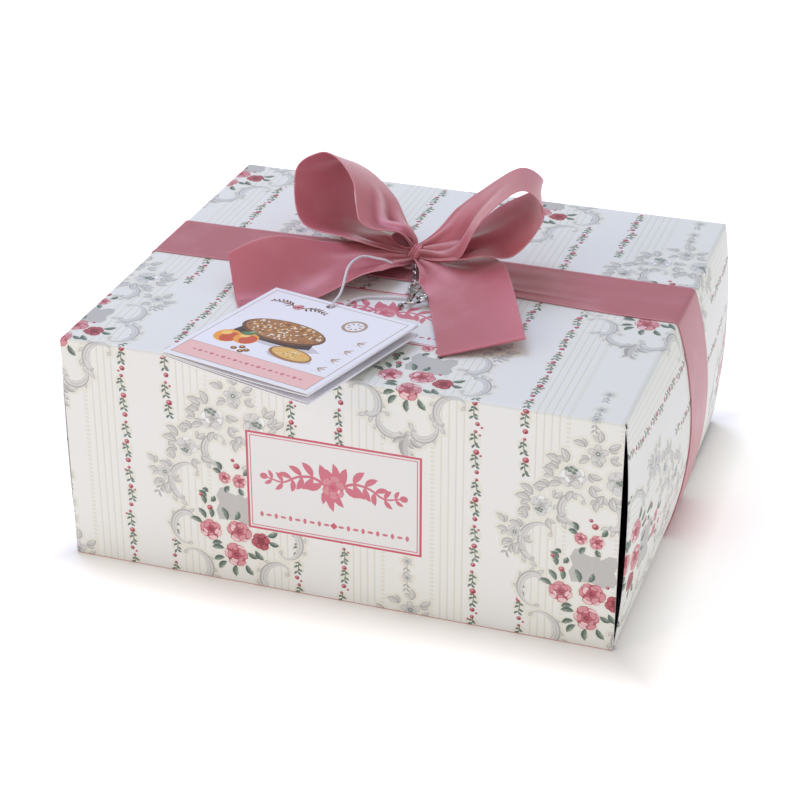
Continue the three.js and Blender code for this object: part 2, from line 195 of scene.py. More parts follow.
def frames_along(path, closed):
    """Tangents and two directions across a path, carried along it without twisting."""
    if closed:
        along = unit(np.roll(path, -1, axis=0) - np.roll(path, 1, axis=0))
    else:
        along = unit(np.gradient(path, axis=0))
    side = unit(np.cross(along[0], [0.1, 0.2, 1]))
    sides = []
    for t in along:
        side = unit(side - t * np.dot(side, t))
        sides.append(side)
    sides = np.array(sides)
    return along, sides, np.cross(along, sides)


def ring_faces(count, sides, closed=False):
    """Faces from each ring of points to the next one. Open rings have a flat face at both ends."""
    faces = []
    for i in range(count if closed else count - 1):
        j = (i + 1) % count
        for k in range(sides):
            m = (k + 1) % sides
            faces.append((i * sides + k, i * sides + m, j * sides + m, j * sides + k))
    if not closed:
        faces += [tuple(range(sides))[::-1], tuple(range((count - 1) * sides, count * sides))]
    return faces


def turned_over(faces):
    """The same faces seen from their other side, each still from its first point."""
    return [(face[0], *face[:0:-1]) for face in faces]


def tube(path, radius, sides, closed=False, twist=0, offset=0):
    """Points and faces of a round tube. With an offset it winds round the path, twist turns in all."""
    path = np.asarray(path, float)
    _, side, up = frames_along(path, closed)
    turns = 2 * math.pi * twist * np.linspace(0, 1, len(path))
    away = offset * (np.cos(turns)[:, None] * side + np.sin(turns)[:, None] * up)
    rings = [path + away + radius * (math.cos(a) * side + math.sin(a) * up)
             for a in np.linspace(0, 2 * math.pi, sides, endpoint=False)]
    points = np.array(rings).transpose(1, 0, 2).reshape(-1, 3)
    return points, ring_faces(len(path), sides, closed)


def joined(parts):
    """Several (points, faces) as one."""
    points, faces, count = [], [], 0
    for p, f in parts:
        points.append(np.asarray(p, float))
        faces += [tuple(count + i for i in face) for face in f]
        count += len(p)
    return np.vstack(points), faces


# Shader maths

def operator(operation, reflected=False):
    def applied(self, other):
        return self.maths(operation, other, self) if reflected else self.maths(operation, self, other)
    return applied


class Value:
    """A number that varies over a surface. Arithmetic on it adds Math nodes."""

    def __init__(self, finish, socket):
        self.finish = finish
        self.socket = socket

    def maths(self, operation, *numbers):
        node = self.finish.node("ShaderNodeMath", {"operation": operation}, dict(enumerate(numbers)))
        return Value(self.finish, node.outputs[0])

    __add__ = operator("ADD")
    __radd__ = operator("ADD", True)
    __sub__ = operator("SUBTRACT")
    __rsub__ = operator("SUBTRACT", True)
    __mul__ = operator("MULTIPLY")
    __rmul__ = operator("MULTIPLY", True)
    __truediv__ = operator("DIVIDE")

    def wave(self):
        return self.maths("SINE", self)

    def clipped(self):
        return self.maths("MINIMUM", self.maths("MAXIMUM", self, 0), 1)


class Finish:
    """A material whose shader takes constants from its maker and varying values from feed()."""

    def __init__(self, name, **constants):
        self.material = bpy.data.materials.new(name)
        self.material.use_nodes = True
        self.tree = self.material.node_tree
        self.shader = self.tree.nodes["Principled BSDF"]
        for socket, value in constants.items():
            self.shader.inputs[socket.replace("_", " ")].default_value = value

    def node(self, kind, settings=None, values=None):
        made = self.tree.nodes.new(kind)
        for name, value in (settings or {}).items():
            setattr(made, name, value)
        for socket, value in (values or {}).items():
            if isinstance(value, Value):
                self.tree.links.new(value.socket, made.inputs[socket])
            elif isinstance(value, bpy.types.NodeSocket):
                self.tree.links.new(value, made.inputs[socket])
            else:
                made.inputs[socket].default_value = value
        return made

    def place(self):
        """The point of the surface, in millimetres."""
        at = self.node("ShaderNodeTexCoord").outputs["Object"]
        return self.node("ShaderNodeVectorMath", {"operation": "SCALE"}, {0: at, "Scale": MM}).outputs[0]

    def read(self, name):
        """The vector kept at the vertices under this name."""
        return self.node("ShaderNodeAttribute", {"attribute_name": name}).outputs["Vector"]

    def parts(self, vector):
        split = self.node("ShaderNodeSeparateXYZ", {}, {0: vector})
        return [Value(self, socket) for socket in split.outputs]

    def stretched(self, vector, by):
        return self.node("ShaderNodeVectorMath", {"operation": "MULTIPLY"}, {0: vector, 1: by}).outputs[0]

    def noise(self, vector, scale, detail=2):
        made = self.node("ShaderNodeTexNoise", {}, {"Vector": vector, "Scale": scale, "Detail": detail})
        return Value(self, made.outputs[0])

    def mixed(self, low, high, factor):
        """A colour between two, each a colour socket or an (r, g, b) of 0 to 255."""
        low, high = (linear(c) if isinstance(c, tuple) else c for c in (low, high))
        made = self.node("ShaderNodeMix", {"data_type": "RGBA"}, {"Factor": factor, 6: low, 7: high})
        return made.outputs[2]

    def bumped(self, height, distance, strength=1.0):
        values = {"Height": height, "Distance": distance, "Strength": strength}
        self.feed("Normal", self.node("ShaderNodeBump", {}, values).outputs[0])

    def feed(self, socket, value):
        source = value.socket if isinstance(value, Value) else value
        self.tree.links.new(source, self.shader.inputs[socket])


def linear(rgb):
    """An sRGB colour of 0 to 255 as a linear colour with alpha."""
    s = np.asarray(rgb, float) / 255
    lit = np.where(s <= 0.04045, s / 12.92, ((s + 0.055) / 1.055) ** 2.4)
    return (*lit.tolist(), 1.0)


def painted(piece, colours):
    """Gives each corner of a piece's faces the colour of its ink."""
    layer = piece.data.color_attributes.new("ink", "FLOAT_COLOR", "CORNER")
    layer.data.foreach_set("color", np.asarray(colours, float).ravel())


# Finishes

def printed_card(name, roughness):
    """Coated board: its ink, with the fibres and slight unevenness of the sheet."""
    finish = Finish(name, Specular_IOR_Level=0.4, Coat_Weight=0.12, Coat_Roughness=0.3)
    at = finish.place()
    cloudy = finish.noise(at, 0.045, 3)
    fibre = finish.noise(at, 2.6, 4)
    ink = finish.node("ShaderNodeAttribute", {"attribute_name": "ink"}).outputs["Color"]
    worn = finish.mixed(ink, (250, 250, 250), (fibre - 0.5).clipped() * 0.22)
    finish.feed("Base Color", finish.mixed(worn, (216, 214, 208), (cloudy - 0.48).clipped() * 0.25))
    finish.feed("Roughness", roughness + (fibre - 0.5) * 0.12)
    finish.bumped(fibre * 0.6 + cloudy * 2.0, 0.00006)
    return finish.material


RIB_STEP = 0.5                # of the satin, along and across it
THREAD_STEP = 0.4


def satin_ribbon(name, shade, bright, dark):
    """Woven satin: fine ribs across, threads along; painted highlight on its folds' ridges and painted
    shade in their valleys, and lighter at the selvedge.
    """
    finish = Finish(name, Specular_IOR_Level=0.75, Specular_Tint=linear((240, 172, 176)), Sheen_Weight=0.1,
                    Sheen_Roughness=0.35, Sheen_Tint=linear((236, 170, 182)), Subsurface_Weight=0.6,
                    Subsurface_Radius=(1, 0.85, 0.88), Subsurface_Scale=0.002)
    across, along, edge = finish.parts(finish.read("strip"))
    # folds holds each point's shares of painted highlight on ridges and painted shade in valleys
    ridge, valley, _ = finish.parts(finish.read("folds"))
    ribs = (along * (2 * math.pi / RIB_STEP)).wave()
    threads = (across * (2 * math.pi / THREAD_STEP)).wave()
    cloudy = finish.noise(finish.place(), 0.045, 2)
    grain = finish.noise(finish.place(), 2.2, 2)
    # Painted highlight on the ridges, with lighter tone at random, then painted shade in the valleys
    lit = finish.mixed(shade, bright, (ridge + (cloudy - 0.5) * 0.9 + (grain - 0.5) * 0.3).clipped())
    folded = finish.mixed(lit, dark, valley.clipped())
    grained = finish.mixed(folded, dark, (ribs * 0.5 + threads * 0.3 + 0.2).clipped() * 0.1)
    finish.feed("Base Color", finish.mixed(grained, bright, edge * 0.4))
    finish.feed("Roughness", 0.28 + grain * 0.08 + edge * 0.12)
    finish.bumped(ribs * 0.5 + threads * 0.35 + edge * 2.5, 0.00002, 0.6)
    return finish.material


def twisted_yarn(name, shade, dark):
    """Soft cotton yarn with its strands lying aslant."""
    finish = Finish(name, Sheen_Weight=0.3, Roughness=0.75)
    strand = finish.noise(finish.stretched(finish.place(), (1, 1, 1.3)), 3.2, 3)
    finish.feed("Base Color", finish.mixed(dark, shade, (strand * 1.6 - 0.3).clipped()))
    finish.bumped(strand, 0.00012)
    return finish.material


def bright_silver(name):
    """Cast silver: bright and a little uneven, with painted dark reflections in patches at random."""
    finish = Finish(name, Metallic=1.0)
    unevenness_and_dark_reflection = finish.noise(finish.place(), 0.55, 2)
    # Dark patches of painted reflection, for the dark surroundings the silver would mirror
    finish.feed("Base Color", finish.mixed((202, 198, 194), (40, 35, 35), ((unevenness_and_dark_reflection - 0.46) * 6).clipped()))
    finish.feed("Roughness", 0.16 + unevenness_and_dark_reflection * 0.18)
    finish.bumped(unevenness_and_dark_reflection, 0.00012)
    return finish.material


CARTON_CARD = printed_card("carton_card", 0.46)
TAG_PAPER = printed_card("tag_paper", 0.38)
SATIN = satin_ribbon("ribbon_satin", (188, 108, 117), (228, 172, 178), (118, 56, 65))
WHITE_YARN = twisted_yarn("white_cord", (252, 250, 252), (196, 188, 198))
PINK_YARN = twisted_yarn("pink_cord", (232, 178, 188), (190, 112, 130))
SILVER = bright_silver("silver_metal")


# The cord comes out of the bow, goes through the leaflet's hole and lies on the lid to the charm

CORD_ROUTE = [
    (-9.4, 8.6, 121.4), (-10.6, 5, 121.8), (-10, 0, 122.8), (-9, -4, 124.6), (-8.8, -7, 126.6),
    (-11.6, -8.4, 128.6), (-16, -8.5, 129), (-19.9, -8.2, 129.1), (-22.2, -9.8, 129.6),
    (-23.4, -15.4, 130.8), (-23.9, -21, 131.2), (-23.8, -28, 130.9), (-22, -37, 130.2),
    (-20.2, -45.5, 128.9), (-19.6, -52, 127.5), (-20.4, -57, 126.2), (-21.3, -59.7, 123.4),
    (-21.3, -59.4, 121.2), (-20.8, -58, 119), (-19.7, -52.6, 118.5), (-19.6, -45.8, 118.5),
    (-19.3, -41, 118.5), (-17.8, -36.6, 118.5), (-13.6, -32, 118.5), (-7, -29.4, 118.5),
    (0, -27.7, 118.5), (6, -26.4, 118.5),
]
PLY_TURN = 2.8                # length of the cord for one turn of its plies
PLY_R = 0.27                  # a ply's radius and its distance from the middle, as shares of the diameter
PLY_OUT = 0.24


def leaflet_cord():
    path = curve_through(CORD_ROUTE, 420, centripetal=True)
    long = length_of(path)
    plies = [tube(path, PLY_R * CORD_D, 8, twist=long / PLY_TURN, offset=PLY_OUT * CORD_D * side)
             for side in (1, -1)]
    cord = dressed("leaflet_cord", *joined(plies), WHITE_YARN, "white_cord", "tag_string")
    placed(path[0]).tolist()
    placed(path).tolist()


leaflet_cord()


# Print: each shape is an ink and an outline on the print plane, in millimetres. x runs from the
# front's left edge, y from the back of the lid forwards and on down the front. Angles are in
# degrees from x towards y, and a later shape lies on top.

INKS = {
    "ground": (232, 230, 227), "column": (232, 230, 225), "cream": (228, 224, 213), "pin": (221, 216, 204),
    "white": (236, 235, 235), "grey_light": (213, 211, 208), "grey": (194, 191, 187),
    "grey_deep": (168, 164, 160), "stipple": (190, 186, 182), "stipple_light": (202, 198, 193),
    "leaf": (118, 132, 120), "leaf_dark": (84, 100, 92), "leaf_light": (158, 170, 156),
    "rose": (182, 84, 97), "rose_dark": (136, 46, 58), "rose_light": (212, 142, 150),
    "rose_pale": (233, 196, 199), "frame": (200, 82, 102), "frame_light": (206, 112, 128),
    "label": (229, 227, 225), "foot_line": (190, 122, 108), "inside_shade": (96, 24, 34), "board": (236, 234, 230),
    "leaflet": (238, 235, 242), "gold": (176, 150, 128), "blush": (240, 190, 186), "crust": (168, 112, 62),
    "crust_dark": (104, 62, 34), "sugar": (238, 226, 208), "case": (56, 40, 38), "peach": (242, 160, 50),
    "peach_red": (208, 78, 44), "peach_light": (250, 202, 108), "crumb": (228, 182, 104),
    "nut": (140, 84, 48), "green": (74, 140, 62), "shadow": (206, 200, 208), "faint": (206, 200, 196),
}


def heading(angle):
    return np.array([math.cos(math.radians(angle)), math.sin(math.radians(angle))])


def oval(x, y, rx, ry, angle=0, sides=0):
    """An ellipse, with few sides where it is small."""
    a = np.linspace(0, 2 * math.pi, sides or (8 if max(rx, ry) > 1.1 else 6), endpoint=False)
    return (x, y) + np.outer(rx * np.cos(a), heading(angle)) + np.outer(ry * np.sin(a), heading(angle + 90))


def stroke(points, width):
    """A band along a line, with a width at each of its points."""
    p = np.asarray(points, float)
    t = unit(np.gradient(p, axis=0))
    side = np.stack([-t[:, 1], t[:, 0]], axis=1) * (np.broadcast_to(width, len(p)) / 2)[:, None]
    return np.vstack([p + side, (p - side)[::-1]])


def moved(shapes, x, y):
    return [(ink, outline + (x, y)) for ink, outline in shapes]


def rectangle(x0, y0, x1, y1):
    return np.array([(x0, y0), (x1, y0), (x1, y1), (x0, y1)], float)


def blade(x, y, angle, long, wide, bend=0.12):
    """A pointed leaf from its foot at (x, y)."""
    t = np.linspace(0, 1, 4 + (long > 3.2) + (long > 6))
    aside = np.sin(math.pi * t) * bend * long
    middle = (x, y) + np.outer(t * long, heading(angle)) + np.outer(aside, heading(angle + 90))
    return stroke(middle, wide * np.sin(math.pi * t) ** 0.8 + 0.05)


def leaf(x, y, angle, long=5.5, wide=2.8, inks=("leaf", "leaf_dark", "leaf_light")):
    mid = (x, y) + heading(angle) * 0.5 * long
    return [
        (inks[0], blade(x, y, angle, long, wide)),
        (inks[1], blade(x, y, angle + 5, long * 0.96, wide * 0.42, 0.2)),
        (inks[2], blade(*mid, angle - 14, long * 0.34, wide * 0.3, -0.1)),
    ]


GREY_LEAF = ("grey", "grey_deep", "grey_light")


def broad_leaf(x, y, angle, long):
    """A grey leaf with a dark edge, a pale blade and a shaded side."""
    tip = (x, y) + heading(angle) * long * 0.08
    return [
        ("grey_deep", blade(x, y, angle, long, long * 0.5)),
        ("grey_light", blade(*tip, angle, long * 0.86, long * 0.36)),
        ("grey", blade(*tip, angle + 5, long * 0.8, long * 0.14, 0.16)),
    ]


def sprig(x, y, angle, count=3, step=3.2, long=3.4, inks=GREY_LEAF):
    """A short stem with leaves in pairs."""
    foot = np.array([x, y])
    way = heading(angle)
    shapes = [(inks[1], stroke([foot, foot + way * step * count], 0.35))]
    for k in range(count):
        at = foot + way * step * (k + 0.6)
        for side in (-1, 1):
            shapes += leaf(*at, angle + side * 42, long, long * 0.42, inks)
    return shapes


def bend_line(bulge, size, turns, tight):
    """A line that starts and ends in curls, is tightest at its ends, and bulges to one side."""
    s = np.linspace(0, 1, 20)
    bend = 1 + tight * np.abs(2 * s - 1) ** 3
    way = np.cumsum(bend) / bend.sum() * turns * 2 * math.pi + math.radians(bulge + 90 - 180 * turns)
    line = np.cumsum(np.stack([np.cos(way), np.sin(way)], axis=1), axis=0)
    line -= (line.max(axis=0) + line.min(axis=0)) / 2
    return line / np.abs(line).max() * size


SCROLL_TURNS = 0.95
SCROLL_WIDE = 3.8
# Along a scroll's body: ink, how far aside, share of the width, first and last point
SCROLL_LINES = [("grey_light", -0.1, 0.66, 1, -1), ("grey_deep", 0.38, 0.13, 2, -2),
                ("grey", -0.05, 0.16, 4, -6)]


def scroll(x, y, bulge, size, flip):
    """A C-scroll: a heavy end with lobes like a leaf's, drawn out thin to a curl at the other."""
    wide = SCROLL_WIDE
    line = bend_line(bulge, size, SCROLL_TURNS, 3.0)
    if flip:
        line = line[::-1]
    s = np.linspace(0, 1, len(line))
    body = wide * (0.3 + 0.7 * np.sin(math.pi * np.minimum(1, s * 1.1 + 0.12)) ** 0.9)
    out = unit(line - line.mean(axis=0))
    run = unit(np.gradient(line, axis=0))
    shapes = []
    for k in (1, 3, 5, 8, 11):
        way = math.degrees(math.atan2(*(out[k] * 0.7 - run[k])[::-1]))
        foot = line[k] + out[k] * body[k] * 0.25
        long = wide * (1.3 - 0.03 * k)
        shapes.append(("grey", blade(*foot, way, long, long * 0.5)))
        shapes.append(("grey_light", blade(*foot, way + 6, long * 0.8, long * 0.26)))
    shapes.append(("grey", stroke(line, body)))
    for ink, aside, share, first, last in SCROLL_LINES:
        beside = line + out * body[:, None] * aside
        shapes.append((ink, stroke(beside[first:last], share * body[first:last])))
    shapes.append(("grey", oval(*line[-1], wide * 0.3, wide * 0.3)))
    shapes.append(("grey_light", oval(*line[-1], wide * 0.15, wide * 0.15, 0, 6)))
    return moved(shapes, x, y)


def rose(x, y, r, turn=0, inks=("rose", "rose_dark", "rose_light", "rose_pale")):
    """An open rose, brushed: ragged petals in three rings round a dark heart, with pale touches."""
    shapes = [(inks[0], oval(x, y, r * 0.8, r * 0.75, turn * 40, 11))]
    for count, far, size in ((6, 0.62, 0.38), (5, 0.4, 0.3), (3, 0.18, 0.24)):
        for k in range(count):
            way = 360 * (k + random.uniform(-0.22, 0.22)) / count + turn * 57
            out = heading(way)
            aside = heading(way + 90)
            wide = r * size * random.uniform(0.82, 1.18)
            at = (x, y) + out * r * far * random.uniform(0.9, 1.06)
            shapes.append((inks[0], oval(*at, wide * 0.9, wide * 1.15, way)))
            tone = random.choice((inks[2], inks[2], inks[3])) if far > 0.3 else inks[0]
            lean = way + random.uniform(-16, 16)
            shapes.append((tone, oval(*(at + out * wide * 0.24), wide * 0.56, wide * 0.88, lean)))
            arc = [at + out * wide * (0.4 * t * t - 0.5) + aside * wide * t
                   for t in (-0.95, -0.35, 0.35, 0.95)]
            shapes.append((inks[1], stroke(arc, wide * np.array([0.06, 0.3, 0.3, 0.06]))))
    shapes.append((inks[1], oval(x, y, r * 0.2, r * 0.16, turn * 30, 8)))
    shapes.append((inks[0], oval(x + 0.04 * r, y - 0.03 * r, r * 0.1, r * 0.06, -20, 6)))
    return shapes


GREY_ROSE = ("grey", "grey_deep", "grey_light", "white")


def blossom(x, y, r, turn=0, heart="leaf"):
    """A flat flower of five grey petals."""
    shapes = []
    for k in range(5):
        way = 72 * k + turn
        at = (x, y) + heading(way) * r * 0.6
        shapes.append(("grey", oval(*at, r * 0.5, r * 0.4, way)))
        shapes.append(("grey_light", oval(*(at + heading(way) * r * 0.08), r * 0.36, r * 0.26, way, 7)))
        shapes.append(("grey_deep", oval(*(at - heading(way) * r * 0.14), r * 0.2, r * 0.05, way, 6)))
    shapes.append((heart, oval(x, y, r * 0.26, r * 0.24, turn, 7)))
    shapes.append(("white", oval(x, y, r * 0.1, r * 0.1, 0, 5)))
    return shapes


def bud(x, y, r):
    return [
        ("rose", oval(x, y, r, r * 0.95)),
        ("rose_dark", oval(x + 0.25 * r, y + 0.35 * r, r * 0.55, r * 0.3, -30, 7)),
        ("rose_light", oval(x - 0.25 * r, y - 0.25 * r, r * 0.48, r * 0.36, -30, 7)),
    ]


def heart_bloom(x, y, r):
    """Dark touches at the middle of a grey rose."""
    return [("leaf", oval(x + dx * r, y + dy * r, 0.2 * r, 0.14 * r, 40 * dx, 6))
            for dx, dy in ((-0.35, -0.5), (0, -0.62), (0.32, -0.46), (-0.12, -0.34), (0.2, -0.2))]


# The bouquet with its garland, from the middle of the bouquet

BOUQUET_LEAVES = [
    (-17, -9, 205, 6.2), (-15, -12, 235, 6.4), (-12, -13, 262, 6), (-4, -13, 250, 7.4), (0, -14, 292, 5.6),
    (-7, 0, 165, 5.4), (-6, 3, 178, 6.4), (-6, 8, 158, 6), (-5, 10, 130, 6.2), (0, 11, 92, 6.6),
    (5, 10, 55, 6.4), (6, 3, 20, 6), (10, 1, 48, 6.4), (16, -8, 330, 6.4), (17, -5, 12, 5.4),
    (-1, -1, 60, 5),
]
POSY_LEAVES = [
    (-6, -38, 205, 4.8), (-6, -40, 240, 5), (5, -39, 300, 4.6), (-2, -32, 120, 4.6), (3, -32, 60, 4.4),
    (-14, -24, 215, 5), (-15, -20, 250, 5.4), (-12, -22, 300, 4), (-13, -27, 200, 3.4),
]
GREY_LEAVES = [
    (-15, -73, 205, 6), (-16, -70, 180, 5), (-12, -74, 245, 6), (-14, -63, 160, 5.4), (-9, -60, 110, 5),
    (16, -72, 325, 6), (18, -68, 350, 6), (18, -64, 15, 5.6), (9, -60, 75, 6), (5, -60, 110, 5.4),
    (13, -60, 50, 5), (-27, -55, 215, 6), (-28, -52, 190, 6), (-24, -57, 265, 4.8), (-18, -55, 320, 4.6),
    (-28, -47, 160, 5), (-32, -37, 200, 5), (-36, -30, 140, 5), (-33, -29, 100, 5.6), (-38, -34, 190, 4.4),
    (-31, -32, 20, 4), (-4, -83, 200, 5), (6, -84, 330, 5), (2, -86, 270, 5), (7, -79, 20, 4.6),
    (-2, -77, 150, 4.4), (28, -49, 300, 5), (31, -45, 350, 5), (25, -42, 120, 4.6), (30, -41, 50, 5.2),
    (23, -47, 210, 4.4), (-2, -70, 15, 5), (-1, -64, 60, 5.4), (3, -74, 250, 5), (-18, -66, 215, 5),
    (-20, -60, 180, 5.4), (21, -68, 330, 5), (-16, -46, 20, 5), (-20, -44, 70, 4.6), (-40, -38, 230, 4.6),
    (-30, -42, 250, 4.4), (15, -57, 30, 5), (3, -57, 100, 5),
]
SCROLLS = [
    (-9, -51, 195, 7.6, False), (-25, -31, 200, 9.6, False), (-27, -5, 180, 8.6, True),
    (-20, 14, 325, 7.6, True), (28, -6, 0, 8.6, False), (20, 14, 215, 7.6, False),
    (22, -28, 345, 8.6, True), (-8.5, 25, 135, 5.6, False), (8.5, 25, 45, 5.6, True),
    (9, -50, 330, 6.4, True),
]
BLOCK = [
    (-8, -13), (-9.4, -18), (-7.6, -22), (-9, -26), (-7, -30.5), (-4, -31), (-2.4, -28.6), (1, -27.6),
    (4, -29), (5.4, -26.6), (9, -29.4), (12.4, -29), (13.4, -25), (11.6, -21), (13.4, -17), (12, -13.4),
    (7, -12), (1, -14),
]
BLOCK_DOTS = 50


HALO_FROM = 3.5               # area of the smallest shape that gets a halo


def haloed(shapes, grow):
    """Wider copies of the outlines, in the cream tint that surrounds the ornament."""
    wider = []
    for _, outline in shapes:
        middle = outline.mean(axis=0)
        away = outline - middle
        far = np.linalg.norm(away, axis=1, keepdims=True)
        x, y = away.T
        if abs(np.dot(x, np.roll(y, 1)) - np.dot(y, np.roll(x, 1))) > 2 * HALO_FROM:
            wider.append(("cream", middle + away * (1 + grow / np.maximum(far, 0.6))))
    return wider


def garland():
    grey = []
    for x, y, bulge, size, flip in SCROLLS:
        grey += scroll(x, y, bulge, size, flip)
    for x, y, angle, long in GREY_LEAVES:
        turned = angle + random.choice((-46, 46))
        grey += broad_leaf(x, y, turned, long * 0.95) + broad_leaf(x, y, angle, long * 1.25)
    for y in (-122, -107, -98):
        grey += blossom(0, y, 2.6, y) + sprig(0, y + 2, 90, 2, 2.4, 2.8)
    grey += sprig(0, 30, 90, 3, 3.6, 5)
    for palm in ((0, 28, 90, 14, 5), (-1, 31, 150, 7, 2.8), (1, 31, 30, 7, 2.8)):
        grey += leaf(*palm, GREY_LEAF)
    grey += sprig(-35, -30, 115, 3, 3) + sprig(28, -40, 70, 2, 3)
    for flower in ((-35, -34, 3.8, 10), (27, -46, 3.6, 30), (1.6, -80.5, 4.6, 50)):
        grey += blossom(*flower)
    for bloom, heart in (((11.5, -67, 6.2, 0.7), (13, -65, 5.5)), ((-9, -67, 6.6, 0.2), (-10, -68, 6)),
                         ((-23, -50, 5.4, 1.4), (-24, -46, 4))):
        grey += rose(*bloom, GREY_ROSE) + heart_bloom(*heart)
    stippled = [("stipple", np.array(BLOCK))]
    for _ in range(BLOCK_DOTS):
        ink = "grey" if random.random() < 0.5 else "stipple_light"
        at = (random.uniform(-8, 12), random.uniform(-27.5, -14.5))
        stippled.append((ink, oval(*at, 0.28, 0.28, 0, 5)))
    posy = []
    for at in BOUQUET_LEAVES + POSY_LEAVES:
        posy += leaf(*at)
    posy += rose(-4.4, -36.4, 3.5, 0.4) + rose(3.2, -35.6, 3.9, 1.2)
    for at in ((2, -43.5, 1.7), (0, -46.4, 1.1), (-12.6, -18.6, 1.5), (-17, -25, 1.1), (9, -12.8, 1)):
        posy += bud(*at)
    posy += rose(13, -4.6, 5.2, 0.9, ("rose_dark", "rose_dark", "rose", "rose"))
    posy += rose(-12.4, -6.6, 6.1, 0.3) + rose(1.9, -8, 6.7, 1.1) + rose(0, 5.4, 6.8, 2.0)
    return haloed(grey, 1.5) + haloed(posy, 1.0) + grey + stippled + posy


GARLAND = garland()
REPEAT = 172                  # across, from column to column of the same kind
DROP = 203                    # down, from bouquet to bouquet
COLUMNS = [(85, 128), (171, 24)]           # middle of the column and of one of its bouquets
VINES = [(31, 171, 24), (53.5, 85, 128), (116, 85, 128), (139, 171, 24)]   # with the bouquet beside each
VINE_STEP = 24.5              # two sprigs


# A vine's sprig: how far up its stem each leaf starts, its side, angle from the stem and length
SPRIG_LEAVES = [(0.3, 1, 42, 2.5), (0.36, -1, 30, 2.1), (0.62, -1, 40, 2.9), (0.7, 1, 34, 2.6),
                (1, -1, 48, 2.7), (1, 1, 38, 2.6)]
# The rosebuds of one step: how far down each is, its radius, and whether it has no sprig
STEP_BUDS = [(0, 1.35, True), (3.9, 1.0, False), (14.3, 1.5, False)]


def vine(x, top, bottom, broken):
    """Rosebuds above leafy sprigs, left out where a garland reaches over."""
    shapes = []
    for k in range(math.floor(top / VINE_STEP) - 1, math.ceil(bottom / VINE_STEP) + 1):
        for down, r, alone in STEP_BUDS:
            y = k * VINE_STEP + down
            at = x + random.uniform(-0.9, 0.9)
            if any(low < y + 3 < high for low, high in broken):
                continue
            if not alone:
                stem = [(at + 0.5 * math.sin(2.6 * t + k), y + 6.6 * t) for t in np.linspace(0, 1, 5)]
                shapes += [("cream", stroke(stem, (3, 5.4, 6, 6, 5))), ("leaf", stroke(stem, 0.5))]
                for t, side, way, long in SPRIG_LEAVES:
                    foot = stem[round(4 * t)]
                    tilt = 90 - side * (90 - way) + random.uniform(-14, 14)
                    shapes.append(("leaf", blade(*foot, tilt, long, 1.25)))
                    shapes.append(("leaf_dark", blade(*foot, tilt, long * 0.75, 0.5)))
            shapes += bud(at, y, r * random.uniform(0.85, 1.1))
            if random.random() < 0.4:
                shapes += bud(at + random.choice((-2, 2)), y + 1.6, 0.7)
    return shapes


COLUMN_HALF = 29
PIN_LINES = (16, 19.5, 23, 26.5)           # from the middle of a column
PIN_HALF = 0.35
CHAIN_LINE = 12
CHAIN_STEP = 2.3
DROPS = range(-2, 4)
GARLAND_REACH = 45            # to either side of its column
BREAKS = ((-66, -9), (-64, -40))           # in the vines left and right of a column, from its bouquet


def wallpaper(x0, y0, x1, y1):
    """The striped floral print over a rectangle of the print plane."""
    shapes = []
    repeats = range(math.floor(x0 / REPEAT) - 1, math.ceil(x1 / REPEAT) + 1)
    bouquets = []
    for k in repeats:
        for column, start in COLUMNS:
            middle = column + k * REPEAT
            if not x0 - GARLAND_REACH < middle < x1 + GARLAND_REACH:
                continue
            shapes.append(("column", rectangle(middle - COLUMN_HALF, y0 - 1, middle + COLUMN_HALF, y1 + 1)))
            for away in PIN_LINES:
                for line in (middle - away, middle + away):
                    shapes.append(("pin", rectangle(line - PIN_HALF, y0 - 1, line + PIN_HALF, y1 + 1)))
            for y in np.arange(y0 - 1, y1 + 1, CHAIN_STEP):
                for line in (middle - CHAIN_LINE, middle + CHAIN_LINE):
                    shapes.append(("pin", oval(line, y, 1.15, 0.75, 0, 6)))
                    shapes.append(("column", oval(line, y, 0.55, 0.3, 0, 4)))
            bouquets += [(middle, start + drop * DROP) for drop in DROPS]
    for k in repeats:
        for x, column, start in VINES:
            at = x + k * REPEAT
            if x0 - 6 < at < x1 + 6:
                first, last = BREAKS[x > column]
                broken = [(start + drop * DROP + first, start + drop * DROP + last) for drop in DROPS]
                shapes += vine(at, y0, y1, broken)
    for at in bouquets:
        shapes += moved(GARLAND, *at)
    return [(ink, o) for ink, o in shapes if o[:, 0].max() > x0 - 2 and o[:, 0].min() < x1 + 2
            and o[:, 1].max() > y0 - 2 and o[:, 1].min() < y1 + 2]


def boxes(x0, y0, x1, y1, *layers):
    """Rectangles inside one another, each an ink and its distance from the outermost edge."""
    return [(ink, rectangle(x0 + by, y0 + by, x1 - by, y1 - by)) for ink, by in layers]


